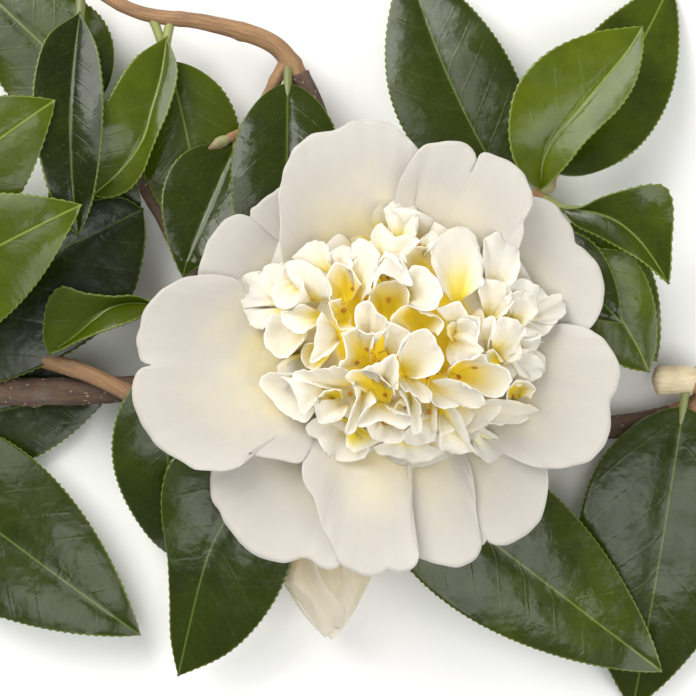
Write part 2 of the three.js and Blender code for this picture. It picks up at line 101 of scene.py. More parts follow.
# Each light: its place over the floor and its side, both in metres, its power and its colour.
LIGHTS = {
    "key_panel": ((-0.5, 0.6, 0.62), 0.6, 9.2, (1.0, 0.98, 0.95)),
    "top_panel": ((-0.34, 0.3, 0.9), 0.45, 2.2, (1.0, 0.99, 0.97)),
    "sheen_panel": ((0.04, -0.25, 0.93), 0.4, 2.2, (1.0, 0.99, 0.97)),
    "fill_panel": ((0.65, -0.35, 0.55), 0.6, 4.2, (1.0, 0.99, 0.97)),
}
SKY_COLOUR, SKY_STRENGTH = (0.87, 0.88, 0.88, 1.0), 0.32
FLOOR_HALF, FLOOR_DROP = 3.0, 0.0004
FILM_WIDTH = 36.0

# The margin round each cell of a bake map, as a share of the cell.
BAKE_MARGIN = 0.03

# The values that the meshes of limbs, petals and blades keep for their materials.
STEM_VALUES = ("along", "round_x", "round_y", "tint")
PETAL_VALUES = ("share", "across", "width", "seed", "yellow")
BLADE_VALUES = ("lateral", "margin", "under", "tint", "gloss", "phase")

LIMBS = {
    "main_branch": {
        "route": [(-105, -8, 2.7), (-99, -8, 2.7), (-92, -8, 3.5), (-84, -8, 5.6), (-70, -8, 8),
                  (-47, -7.6, 9), (-24, -5, 9), (-7, -1.5, 10), (0.4, 0.6, 11.4), (1.5, 1, 13.4),
                  (1.5, 1, 15.2)],
        "radii": (2.9, 1.9),
    },
    "lower_bough": {
        "route": [(-93, -8, 3.2), (-86, -3.5, 6.5), (-79, -0.8, 8.5), (-68.5, 0.4, 9.2), (-60, -2.1, 10.2),
                  (-52, -4.7, 12.6), (-44, -8.3, 13.2), (-34, -12.8, 11.5), (-24, -16.6, 10),
                  (-15, -18.8, 9.7)],
        "radii": (1.7, 1.4),
    },
    "upper_left_bough": {
        "route": [(-28, -5.5, 9), (-29, 3, 7.5), (-33, 13, 6.4), (-38, 23, 6.2), (-41.4, 29, 6.4),
                  (-42.9, 33, 6.8)],
        "radii": (1.9, 1.6),
    },
    "top_bough": {
        "route": [(-17, -3.8, 9.3), (-14, 6, 8.2), (-11, 20, 7.2), (-9.4, 36, 7.2), (-10.8, 42.4, 7.8),
                  (-14, 50, 8.6)],
        "radii": (2.4, 2.1),
    },
    "right_bough": {
        "route": [(-3.5, -0.5, 11), (5, 4.5, 10.4), (14, 12, 10.6), (21, 18, 11.4), (25, 21.8, 12.2)],
        "radii": (1.9, 1.4),
    },
    "lower_right_bough": {
        "route": [(-12, -2.7, 9.8), (-5, -6.5, 7.6), (8, -10, 6), (26, -13, 5), (44, -14.5, 4.5),
                  (55, -12.5, 4.5)],
        "radii": (2.3, 2.1),
    },
}


def blade(start, tip, width, petiole=6.0, arch=3.0, bend=0.0, roll=0.0, fold=10.0, curl=0.12, tint=0.3,
          wave=0.5, gloss=0.5):
    """One leaf of the plan: its petiole's root, its tip and how its blade is set, with its shade."""
    return dict(start=start, tip=tip, width=width, petiole=petiole, arch=arch, bend=bend, roll=roll,
                fold=fold, curl=curl, tint=tint, wave=wave, gloss=gloss)


def drawn(start, tint, gloss, rib, left, right):
    """A leaf given by the lines of its rib and margins: photograph pixels and height over the floor."""
    return dict(start=start, tint=tint, gloss=gloss, rib=rib, left=left, right=right)


def shoot(twigs, *leaves):
    """A leafy mass: its twigs and its leaves."""
    return dict(twigs=twigs, leaves=leaves)


PRUNED_STUB = [(58.5, -5.8, 7.8), (56, -5.8, 8.1), (53, -5.85, 8.3), (50.6, -5.9, 8.4)]

SHOOTS = {
    "left_leaves": shoot(
        [{"route": [(-95, -8, 3), (-95, -2, 8), (-95, 7, 12), (-96, 18, 13.5)],
          "radii": (1.7, 1)}],
        blade((-95, 4, 11), (-52.2, 25.2, 26), 25, arch=4.5, fold=6, tint=0.5, gloss=0.3),
        drawn((-95, 1, 9.8), 0.0, 0.2,
            rib=[(-134, 340, 10), (-60, 325, 11), (0, 290, 11.4), (60, 250, 11.2), (100, 231, 10.4),
                 (143, 209, 9.2)],
            left=[(-134, 340, 10), (-95, 285, 10.6), (-30, 240, 11.2), (40, 214, 11.4),
                  (90, 201, 10.8), (122, 198, 10), (143, 209, 9.2)],
            right=[(-134, 340, 10), (-90, 375, 11), (-20, 385, 11.4), (50, 362, 11.4),
                   (104, 328, 10.8), (131, 296, 10.2), (141, 264, 9.8), (145, 234, 9.4),
                   (143, 209, 9.2)]),
        blade((-95.9, 17, 13.4), (-57.4, 44.3, 19.5), 25, arch=2, fold=6, tint=0.4),
    ),
    "lower_left_leaves": shoot(
        [{"route": [(-98, -8, 2.7), (-96, -13, 2.7), (-91, -16.8, 2.2)], "radii": (1.6, 1.1)}],
        blade((-95.5, -13.4, 3), (-42.9, -52.5, 8), 29, arch=4.5, fold=8, tint=0.14),
        blade((-91.5, -16.4, 2.3), (-47.8, -7, 2), 21, arch=0, fold=2, curl=0.02, tint=0.12, wave=0.1),
    ),
    "inner_left_leaves": shoot(
        [{"route": [(-34, -6.4, 9), (-36, -1, 11.5), (-38, 5.5, 14.5)], "radii": (1.4, 1)}],
        drawn((-37.9, 5.2, 14.4), 0.6, 0.3,
            rib=[(158, 306, 14.8), (138, 303, 15.6), (112, 307, 16.4), (94, 320, 16.4),
                 (74, 337, 15.4), (49, 354, 14)],
            left=[(158, 306, 14.8), (136, 296, 17), (110, 297, 18.4), (84, 294, 19), (62, 287, 19),
                  (50, 298, 18), (44, 322, 16.4), (44, 340, 15), (49, 354, 14)],
            right=[(158, 306, 14.8), (143, 316, 18), (122, 324, 19.6), (102, 330, 19.6),
                   (84, 339, 18), (66, 348, 16), (49, 354, 14)]),
        blade((-37, 2, 13), (-37.8, -38.5, 2), 20, petiole=4, arch=6.8, fold=6, tint=0.15),
    ),
    "upper_left_leaves": shoot(
        [{"route": [(-42.6, 32, 6.7), (-43.6, 36, 7.1), (-46, 42, 7.4)], "radii": (1.4, 1)}],
        blade((-44, 37, 7.1), (-60, 13, 3.5), 17, petiole=4, arch=0, fold=6, tint=0.35, gloss=0.1),
        blade((-45.8, 41.5, 7.3), (-72, 66, 5), 22, arch=1, fold=6, tint=0.3),
    ),
    "top_left_leaves": shoot(
        [
            {"route": [(-13.6, 49, 8.5), (-18, 55, 9.4), (-30, 59, 10.6), (-43, 61, 11), (-54, 67, 10)],
             "radii": (1.9, 1)},
            {"route": [(-16, 53, 9), (-19.5, 46, 9.6), (-23, 40, 10.8), (-27.2, 37.6, 12.2)],
             "radii": (1.2, 0.9)},
        ],
        blade((-15.8, 52.6, 9), (-16, 3, 17), 20, petiole=5, arch=5.5, fold=8, tint=0.14, gloss=0.8),
        blade((-24, 39.4, 11), (-34.7, 13, 17.5), 19, petiole=3, arch=1, roll=12, fold=22, tint=0.14,
              gloss=0.9),
        blade((-40.6, 60.6, 11), (-31.5, 17, 10.4), 19, petiole=9, arch=0, bend=1.8, fold=3, tint=0.4),
        drawn((-37, 60.2, 10.9), 0.45, 0.4,
            rib=[(167, 36, 11.8), (161, 75, 13.8), (151, 112, 15), (146, 132, 15.2), (137, 150, 15),
                 (120, 171, 14.2), (92, 196, 13)],
            left=[(167, 36, 11.8), (136, 58, 15), (114, 90, 16.4), (100, 122, 16.6), (90, 158, 15.8),
                  (86, 182, 14.4), (92, 196, 13)],
            right=[(167, 36, 11.8), (177, 70, 15), (168, 110, 16.4), (159, 132, 16.6),
                   (152, 150, 16.2), (142, 174, 15), (128, 190, 14), (110, 197, 13.4), (92, 196, 13)]),
        drawn((-53.5, 66.6, 10), 0.06, 0.4,
            rib=[(80, 12, 12.6), (74, 60, 15), (70, 116, 17), (71, 160, 17.6), (74, 200, 17.2),
                 (78, 237, 16)],
            left=[(80, 12, 12.6), (48, 36, 16), (35, 76, 18), (34, 118, 19), (41, 162, 19),
                  (56, 207, 17.8), (78, 237, 16)],
            right=[(80, 12, 12.6), (96, 46, 16), (102, 84, 18), (102, 118, 19), (101, 142, 19.2),
                   (99, 162, 19), (96, 182, 18.4), (92, 201, 17.6), (86, 219, 16.8), (78, 237, 16)]),
    ),
    "right_leaves": shoot(
        [{"route": [(24.4, 21.2, 12.1), (27.6, 25, 13), (30.4, 28.8, 15)], "radii": (1.6, 1.3)}],
        drawn((30.2, 28.4, 15), 0.5, 0.3,
            rib=[(541, 190, 16), (541, 178, 16.4), (543, 162, 16.8), (549, 145, 17), (560, 130, 17.4),
                 (578, 110, 18), (602, 82, 18.6), (628, 50, 18.6), (643, 26, 18)],
            left=[(541, 190, 16), (528, 182, 18.5), (516, 165, 20.4), (510, 142, 21),
                  (510, 116, 21.2), (518, 86, 21), (545, 55, 20.6), (590, 34, 19.6), (643, 26, 18)],
            right=[(541, 190, 16), (550, 183, 17.6), (568, 163, 19.2), (582, 145, 20),
                   (600, 126, 20.6), (618, 108, 21), (634, 84, 20.6), (642, 54, 19.6), (643, 26, 18)]),
        blade((27, 24, 12.8), (6, 72, 5), 23, arch=3, bend=2.5, tint=0.16),
        blade((29.6, 27.8, 14), (55, 68, 0.8), 20, petiole=5, arch=1.5, bend=-1.5, tint=0.36),
        drawn((30, 27.4, 14.6), 0.34, 0.8,
            rib=[(561, 208, 16), (582, 210, 17), (600, 214, 18), (615, 220, 18.6), (630, 231, 19),
                 (645, 247, 19.2), (658, 266, 19.6), (669, 284, 20.4)],
            left=[(561, 208, 16), (580, 207, 17.6), (600, 198, 19.6), (625, 190, 21.2),
                  (650, 185, 22), (664, 187, 22.2), (671, 198, 22.2), (673, 220, 22),
                  (672, 245, 21.6), (671, 266, 21), (669, 284, 20.4)],
            right=[(561, 208, 16), (574, 224, 17), (598, 236, 18.2), (620, 248, 19), (640, 260, 19.6),
                   (656, 273, 20), (669, 284, 20.4)]),
        drawn((27.8, 24.4, 12.8), 0.55, 0.3,
            rib=[(556, 236, 13.6), (580, 262, 14), (606, 296, 14), (628, 330, 13.4), (640, 352, 12.8),
                 (649, 372, 12)],
            left=[(556, 236, 13.6), (580, 249, 14.6), (605, 249, 15), (626, 253, 15),
                  (640, 268, 14.6), (650, 290, 14), (656, 316, 13.4), (656, 344, 12.6),
                  (649, 372, 12)],
            right=[(556, 236, 13.6), (562, 275, 13.8), (578, 315, 13.6), (600, 350, 13),
                   (624, 366, 12.4), (649, 372, 12)]),
        blade((27.6, 24, 12), (51.9, -2.5, 7), 20, petiole=5, arch=-2, bend=1.5, tint=0.5),
        blade((26.4, 22.6, 12.8), (44, 4.6, 18.5), 13, petiole=4, arch=1.5, tint=0.12),
    ),
    "lower_right_leaves": shoot(
        [{"route": [(53, -13.2, 4.5), (60, -10, 5.4), (61.5, -7, 7), (57, -5.8, 8),
                    (51, -5.9, 8.4)],
          "radii": (2, 2.5)}],
        blade((57, -5.8, 8.4), (47.8, -67, 0.7), 31, petiole=5, arch=3, fold=6, tint=0.2),
        blade((61, -8, 6.5), (84, -40, 2.4), 25, arch=0.5, tint=0.3),
    ),
    "bottom_leaves": shoot(
        [{"route": [(-20, -17.8, 9.8), (-17.5, -15.5, 12.2), (-11, -14.6, 13.2), (-4, -15, 13.4)],
          "radii": (1.3, 1)}],
        drawn((-17.2, -15.6, 12.6), 0.2, 0.5,
            rib=[(270, 452, 13.6), (254, 476, 14.6), (238, 500, 15.4), (222, 526, 15.6),
                 (209, 553, 15), (199, 586, 13.6), (188, 632, 11), (178, 676, 8)],
            left=[(270, 452, 13.6), (232, 436, 15.4), (194, 442, 16), (171, 462, 16.4),
                  (162, 492, 16.4), (163, 526, 15.8), (168, 556, 14.8), (170, 594, 13),
                  (171, 638, 10.6), (178, 676, 8)],
            right=[(270, 452, 13.6), (294, 478, 15.4), (300, 522, 15.8), (290, 566, 14.8),
                   (267, 611, 12.6), (228, 652, 10), (178, 676, 8)]),
        blade((-5, -14.9, 13.4), (52.5, -59.2, 8.6), 27.5, arch=2.5, fold=6, tint=0.32, gloss=0.8),
    ),
}


def pairs(numbers):
    """Places in the photograph, from a row of numbers with two to each place."""
    return list(zip(numbers[::2], numbers[1::2]))


def guard(azimuth, reach, width, whorl, rise, *rim):
    """One guard petal: azimuth, reach and width, its whorl, its rise, and its rim in photograph pixels."""
    return dict(azimuth=azimuth, reach=reach, width=width, whorl=whorl, rise=rise, rim=pairs(rim))


GUARD_PETALS = [
    guard(188, 43.9, 35, 2.4, 9,
          250, 300, 240, 281, 226, 276, 212, 274, 198, 275, 185, 277, 178, 280, 169, 285, 160, 291,
          152, 299, 147, 305, 143, 311, 141, 318, 140, 325, 137, 333, 136, 341, 137, 350, 139, 357,
          143, 362, 149, 364, 153, 365.5, 148, 366.5, 142, 368, 137, 373, 134, 380, 133, 388, 133, 398,
          135, 408, 138, 417, 142, 426, 149, 437, 157, 447, 166, 454, 176, 459, 185, 464, 193, 469,
          202, 470, 212, 471, 224, 471, 234, 469, 242, 465, 247, 459, 247, 454, 255, 455, 265, 458,
          277, 459, 288, 462, 300, 463, 306, 458, 312, 440),
    guard(143, 36, 33, 1.0, 7,
          205, 300, 198, 280, 200, 264, 204, 252, 208, 241, 213, 234, 218, 227, 224, 220, 231, 216,
          238, 214, 245, 215, 251, 218, 259, 226, 268, 240, 280, 262),
    guard(127, 35, 20, 0, 7,
          240, 240, 246, 224, 250, 215, 251, 209, 257, 205, 263, 199, 268, 195, 274, 192, 280, 188,
          288, 200, 296, 230),
    guard(100, 39.4, 32, 1.5, 12,
          290, 280, 283, 262, 280, 240, 280, 220, 279, 206, 278, 195, 281, 182, 283, 172, 288, 160,
          292, 151, 299, 144, 307, 137, 313, 134, 322, 132, 333, 131, 341, 127, 350, 122, 358, 120,
          372, 120, 385, 121, 393, 124, 400, 130, 408, 137, 415, 144, 420, 152, 420, 170, 414, 200,
          408, 230),
    guard(61, 38.4, 29, 2.6, 11,
          394, 235, 393, 212, 396, 195, 399, 182, 405, 170, 411, 160, 418, 151, 428, 144, 440, 142,
          452, 141, 462, 142, 470, 146, 475, 152, 477, 160, 480, 154, 485, 152, 495, 155, 505, 159,
          512, 163, 520, 169, 525, 176, 528, 184, 532, 192, 533, 202, 528, 214, 524, 222, 524, 232,
          520, 246, 508, 266),
    guard(22, 40, 35, 0.5, 7,
          500, 226, 515, 204, 532, 197, 541, 198, 550, 201, 556, 205, 562, 212, 568, 220, 573, 228,
          575, 236, 576, 243, 583, 248, 590, 255, 597, 264, 601, 272, 603, 282, 604, 292, 603, 303,
          600, 313, 595, 322, 588, 330, 572, 338, 545, 344),
    guard(-16, 41.9, 34, 2.0, 8,
          520, 330, 538, 328, 552, 325, 566, 324, 580, 326, 590, 329, 597, 334, 603, 338, 609, 346,
          614, 354, 618, 364, 620, 374, 618, 384, 615, 392, 611, 400, 610, 406, 611, 416, 611, 426,
          608, 437, 604, 445, 599, 452, 593, 458, 586, 462, 577, 465, 564, 468, 550, 469, 538, 468,
          527, 465, 516, 460, 505, 454, 486, 440),
    guard(-51, 41.6, 30, 0, 6,
          526, 440, 540, 456, 546, 466, 548, 478, 548, 490, 546, 502, 543, 512, 540, 520, 534, 527,
          527, 534, 520, 538, 512, 542, 504, 545, 496, 545, 490, 543, 487, 540, 484, 545, 478, 545,
          470, 535, 460, 505, 450, 470),
    guard(-73, 40.6, 23, 1.2, 6.5,
          470, 465, 474, 485, 476, 505, 478, 520, 481, 535, 482, 545, 480, 552, 475, 559, 469, 563,
          460, 566, 450, 566, 440, 564, 428, 561, 418, 557, 410, 545, 404, 520, 402, 480),
    guard(-94, 41.2, 25, 2.4, 8,
          412, 470, 412, 500, 412, 525, 415, 542, 419, 554, 417, 563, 411, 569, 402, 572, 394, 571,
          388, 568, 379, 575, 369, 577, 359, 575, 351, 571, 343, 567, 337, 561, 334, 552, 330, 542,
          324, 531, 320, 519, 317, 508, 314, 498, 308, 489, 303, 479, 302, 466, 308, 446),
    guard(-123, 43, 35, 0.6, 6,
          330, 470, 342, 520, 344, 555, 338, 567, 328, 570, 319, 567, 311, 560, 302, 558, 293, 561,
          283, 563, 273, 561, 264, 558, 256, 555, 249, 551, 242, 544, 235, 536, 229, 528, 223, 519,
          219, 511, 214, 504, 211, 496, 210, 486, 210, 476, 214, 462, 224, 444, 250, 420),
]
WHORL_STEP = 0.8
CLAW_RADIUS = 3.5

# The band of the spiral's petaloids, in metres: where it starts and ends, how high and how far its mound
# reaches, and how much wider than deep it is.
SPIRAL = {"Inner": 0.0095, "Outer": 0.0172, "Peak": 0.0065, "Reach": 0.0245, "Sideways": 1.1}

BUD = {"foot": (-9, -25.5, 9.5), "tip": (-8, -53, 9), "radii": (2.2, 6.2, 8.4, 8, 5, 1), "flat": 0.85}
BUD_STALK = {"route": [(-15, -18.8, 9.7), (-12, -20.6, 9.8), (-9, -25.5, 9.5), (-9, -28, 9.5)],
             "radii": (1.5, 1.9)}


# The petaloids of the mound, one to a row: the foot in photograph pixels, how far the lip stands over the
# mound, how the blade bulges (below zero for a cup), how far gold reaches up it, and the line of the lip.
LIPS = [
    (290, 300, 0, 0.8, 0.15, 263, 272, 250, 272, 240, 283, 239, 294, 243, 308),
    (288, 311, -0.5, 0.5, 0.15, 243, 307, 246, 316, 252, 326, 264, 326, 270, 321),
    (290, 305, 1, 0.8, 0.1, 262, 290, 261, 273, 266, 266, 276, 263, 282, 268),
    (303, 282, 1.6, 0.8, 0.45, 284, 268, 276, 281, 271, 294, 275, 305, 286, 308, 297, 305),
    (318, 300, 3, 1.6, 0.12, 296, 304, 299, 292, 304, 283, 296, 277, 283, 268, 289, 261, 302, 262, 316, 269,
     327, 282, 331, 296),
    (324, 318, 2.6, 0.6, 0.4, 301, 303, 289, 310, 281, 312, 284, 321, 295, 330, 305, 332, 308, 326),
    (306, 322, 1.2, -1.6, 0.05, 272, 314, 266, 325, 264, 338, 268, 349, 276, 357, 287, 358, 296, 351,
     304, 339),
    (338, 336, 3.2, 1.0, 0.15, 323, 311, 317, 323, 316, 334, 315, 347, 310, 363, 322, 358, 331, 353,
     336, 344),
    (350, 312, 2.2, -1.4, 1.0, 340, 300, 330, 301, 331, 312, 336, 321, 343, 329, 354, 329),
    (366, 366, 3.4, -1.0, 0.75, 338, 366, 345, 354, 344, 341, 341, 331, 352, 328, 363, 330, 373, 331,
     371, 345),
    (370, 345, 4.4, 0.8, 0.15, 356, 329, 357, 306, 367, 300, 377, 310, 387, 319, 388, 328, 380, 332,
     372, 334),
    (392, 360, 4.6, 0.8, 0.3, 384, 338, 387, 322, 398, 327, 409, 335, 404, 346, 397, 354, 393, 357),
    (417, 334, 3.4, -2.4, 0.97, 391, 325, 391, 315, 396, 308, 404, 305, 412, 306, 425, 311, 438, 315,
     444, 324, 438, 333),
    (387, 320, 0, -1.2, 1.0, 369, 301, 371, 290, 379, 282, 394, 280, 408, 286, 409, 302),
    (393, 254, 4.8, 2.0, 0.1, 371, 285, 376, 277, 388, 275, 400, 278, 412, 286, 408, 268),
    (406, 298, 4.6, 1.6, 0.3, 409, 269, 418, 265, 429, 271, 438, 281, 442, 292, 439, 303, 431, 310,
     420, 310, 410, 306),
    (362, 302, 3.2, 1.2, 0.2, 351, 264, 346, 252, 351, 242, 361, 239, 369, 242, 375, 252, 376, 264,
     372, 279, 367, 292),
    (348, 302, 1.6, -1.4, 0.95, 330, 300, 327, 288, 328, 273, 335, 262, 345, 264, 354, 272, 361, 284),
    (335, 277, 0.4, 0.8, 0.35, 292, 258, 299, 250, 308, 243, 319, 240, 326, 247, 331, 256),
    (345, 277, 1.2, 0.8, 0.35, 325, 256, 333, 252, 342, 249, 350, 253, 356, 262),
    (385, 282, 3.4, 0.6, 0.4, 377, 264, 382, 258, 388, 257, 396, 266, 405, 277),
    (386, 274, 1.8, 1.0, 0.3, 371, 243, 372, 232, 381, 223, 388, 231, 396, 237, 408, 235, 420, 240,
     415, 246, 404, 249, 407, 262),
    (402, 246, -0.8, 1.0, 0.12, 384, 216, 384, 205, 393, 200, 404, 198, 412, 202, 417, 211, 418, 224,
     415, 235),
    (421, 256, 0.4, 0.3, 0.4, 419, 238, 425, 234, 433, 232, 431, 242, 428, 250),
    (456, 302, 0.8, 1.0, 0.36, 441, 288, 435, 266, 432, 248, 438, 238, 449, 229, 459, 225, 469, 226,
     478, 235, 482, 250, 486, 268, 484, 284),
    (490, 302, 0.2, 1.0, 0.12, 484, 262, 484, 242, 490, 234, 499, 233, 508, 239, 517, 246, 520, 260,
     519, 272, 514, 281),
    (510, 318, 0.1, 0.7, 0.1, 505, 288, 513, 280, 523, 279, 534, 283, 543, 289, 549, 297),
    (522, 316, -0.5, 0.6, 0.08, 545, 299, 554, 294, 563, 296, 566, 303, 565, 312, 560, 319, 553, 325),
    (510, 322, -0.8, 0.5, 0.1, 554, 325, 550, 331, 543, 336, 533, 342, 520, 341),
    (500, 336, -1.6, 0.5, 0.06, 545, 342, 534, 345, 546, 358, 546, 370, 536, 379, 520, 376),
    (458, 332, 3, 0.8, 0.4, 436, 308, 449, 303, 462, 305, 470, 313, 479, 322, 479, 334),
    (450, 337, 3.2, 0.8, 0.35, 459, 318, 471, 320, 477, 331, 474, 341, 482, 349, 474, 356, 458, 361,
     446, 364),
    (487, 350, 2.2, 0.4, 0.3, 481, 322, 489, 319, 493, 328, 490, 338),
    (494, 352, 1, 0.8, 0.2, 491, 330, 498, 321, 508, 319, 519, 323, 526, 334, 521, 345, 522, 358, 514, 366),
    (450, 379, 3.8, -1.8, 0.72, 449, 367, 460, 361, 471, 358, 484, 352, 488, 363, 500, 364, 509, 371,
     511, 381, 507, 391, 496, 397, 478, 391, 462, 384),
    (430, 385, 4.2, 1.2, 0.1, 434, 381, 448, 379, 462, 383, 474, 389, 484, 397, 485, 404, 478, 410,
     464, 406, 450, 408, 437, 408, 430, 399),
    (404, 372, 5.2, 1.2, 0.3, 399, 352, 403, 340, 412, 333, 426, 330, 435, 338, 440, 350, 443, 361,
     438, 371, 428, 376, 416, 379),
    (405, 376, 3.6, 0.4, 0.4, 400, 384, 408, 392, 419, 399, 430, 402, 431, 392, 422, 384),
    (405, 386, 3.2, 0.8, 0.3, 400, 390, 406, 406, 411, 420, 412, 433, 419, 435, 422, 422, 421, 407,
     414, 397),
    (384, 403, 2.8, -1.6, 0.97, 352, 386, 345, 376, 353, 369, 366, 369, 378, 375, 389, 383, 396, 393),
    (382, 384, 4.4, 0.8, 0.1, 360, 370, 371, 365, 381, 361, 392, 357, 398, 366, 399, 379, 397, 391),
    (322, 394, -0.6, -1.8, 0.3, 306, 373, 284, 373, 268, 372, 261, 380, 263, 389, 273, 400, 284, 411,
     296, 419, 307, 421, 314, 410),
    (334, 387, 1.4, 0.8, 0.15, 280, 378, 290, 383, 293, 394, 298, 404, 302, 415, 309, 408, 316, 399),
    (352, 384, 2.2, 0.8, 0.1, 318, 388, 302, 382, 292, 376, 306, 371, 322, 369, 338, 367, 348, 371),
    (340, 404, 0.6, -0.8, 1.0, 317, 402, 318, 392, 328, 388, 341, 388),
    (346, 402, 1.8, 0.6, 0.1, 320, 400, 315, 404, 316, 413, 319, 421, 330, 422, 340, 417, 346, 411),
    (346, 420, -1.8, -1.2, 0.35, 314, 418, 306, 425, 309, 433, 318, 441, 325, 449, 331, 457, 341, 461,
     353, 461, 363, 457, 370, 449),
    (352, 425, -1.2, -0.8, 0.95, 345, 446, 353, 452, 364, 449, 374, 444, 384, 441),
    (364, 384, 2.4, 0.8, 0.3, 352, 382, 357, 395, 352, 410, 347, 424, 346, 436, 353, 433, 359, 421,
     366, 410, 376, 402),
    (378, 402, 3.2, 0.8, 0.05, 368, 405, 360, 417, 358, 427, 370, 425, 380, 421, 393, 426, 404, 429,
     411, 424, 409, 416, 396, 413, 388, 408),
    (387, 422, 1.4, 0.6, 0.12, 366, 425, 370, 433, 379, 440, 390, 444, 400, 442, 407, 433),
    (402, 436, -2.2, 0.6, 0.25, 372, 447, 378, 454, 390, 456, 402, 459, 414, 462, 428, 461, 438, 456,
     445, 450),
    (424, 418, 0.4, 0.5, 0.2, 404, 432, 409, 441, 420, 443, 432, 441, 444, 440),
    (440, 406, 1.8, 1.0, 0.35, 442, 436, 440, 451, 452, 454, 466, 454, 477, 457, 470, 443, 466, 431,
     462, 420, 453, 409),
    (428, 406, 1.2, 0.6, 0.35, 422, 418, 420, 438, 432, 442, 437, 428, 436, 412),
    (466, 422, -2.4, 0.6, 0.2, 480, 427, 490, 431, 500, 439, 511, 446, 520, 450, 510, 455, 502, 461,
     489, 462, 478, 457),
    (474, 410, -0.4, 0.3, 0.15, 487, 397, 505, 399, 522, 402, 535, 407, 540, 412, 534, 417, 519, 422,
     503, 425, 488, 423),
    (516, 399, 0.8, -1.0, 0.8, 505, 399, 506, 390, 513, 384, 521, 380, 529, 381, 536, 391, 530, 398),
    (488, 318, -0.4, 0.5, 0.2, 478, 292, 484, 281, 496, 280, 508, 286, 514, 299, 506, 314),
    (514, 322, 0.6, 0.6, 0.15, 506, 300, 516, 293, 530, 294, 538, 304, 536, 318, 526, 326),
    (506, 346, -0.2, 0.5, 0.1, 516, 328, 530, 330, 541, 338, 538, 350, 526, 356),
    (500, 372, -1.0, 0.4, 0.08, 512, 352, 528, 350, 541, 360, 544, 372, 534, 382, 518, 386),
    (330, 350, -0.6, -0.8, 1.0, 311, 343, 304, 345, 300, 356, 306, 368, 318, 370),
    (430, 284, -3.5, -0.8, 1.0, 405, 262, 409, 250, 420, 246, 431, 254, 436, 268),
    (466, 352, -1.5, -0.4, 1.0, 447, 334, 447, 322, 455, 321, 463, 326),
    (505, 366, -1, -0.4, 1.0, 484, 362, 486, 351, 494, 351, 500, 360),
    (420, 402, -1.2, -0.4, 1.0, 395, 414, 395, 402, 402, 399, 409, 412),
]

# Tufts of stamens: photograph pixels and height over the centre's floor.
STAMEN_SEATS = [
    (391, 292, 11), (354, 290, 9), (419, 262, 6.5), (375, 356, 11), (507, 397, 1), (345, 394, 6.5),
    (425, 393, 8), (447, 370, 8), (401, 408, 6),
]


def to_frame(points):
    """Points of the plan, in millimetres, as metres in the frame."""
    return (np.asarray(points, dtype=float) + SHIFT) / 1000.0


def smooth(edge_low, edge_high, value):
    """Smooth step from 0 at the low edge to 1 at the high edge."""
    share = np.clip((value - edge_low) / (edge_high - edge_low), 0.0, 1.0)
    return share * share * (3.0 - 2.0 * share)


def unit(vectors):
    """Vectors of length 1 along the last axis."""
    return vectors / np.maximum(np.linalg.norm(vectors, axis=-1, keepdims=True), 1e-9)


def turns_of(count):
    """The turns of a ring's points, in radians."""
    return np.arange(count) / count * 2 * math.pi


def waves(random, count, low, high):
    """A smooth random function of one or two numbers: a few seeded sine waves added up."""
    turns = random.uniform(low, high, (count, 2)) * random.choice([-1, 1], (count, 2))
    starts = random.uniform(0, 2 * math.pi, count)
    sizes = random.uniform(0.5, 1.0, count) / count

    def value(a, b=0.0):
        total = 0.0
        for (turn_a, turn_b), start, size in zip(turns, starts, sizes):
            total = total + size * np.sin(turn_a * a + turn_b * b + start)
        return total

    return value


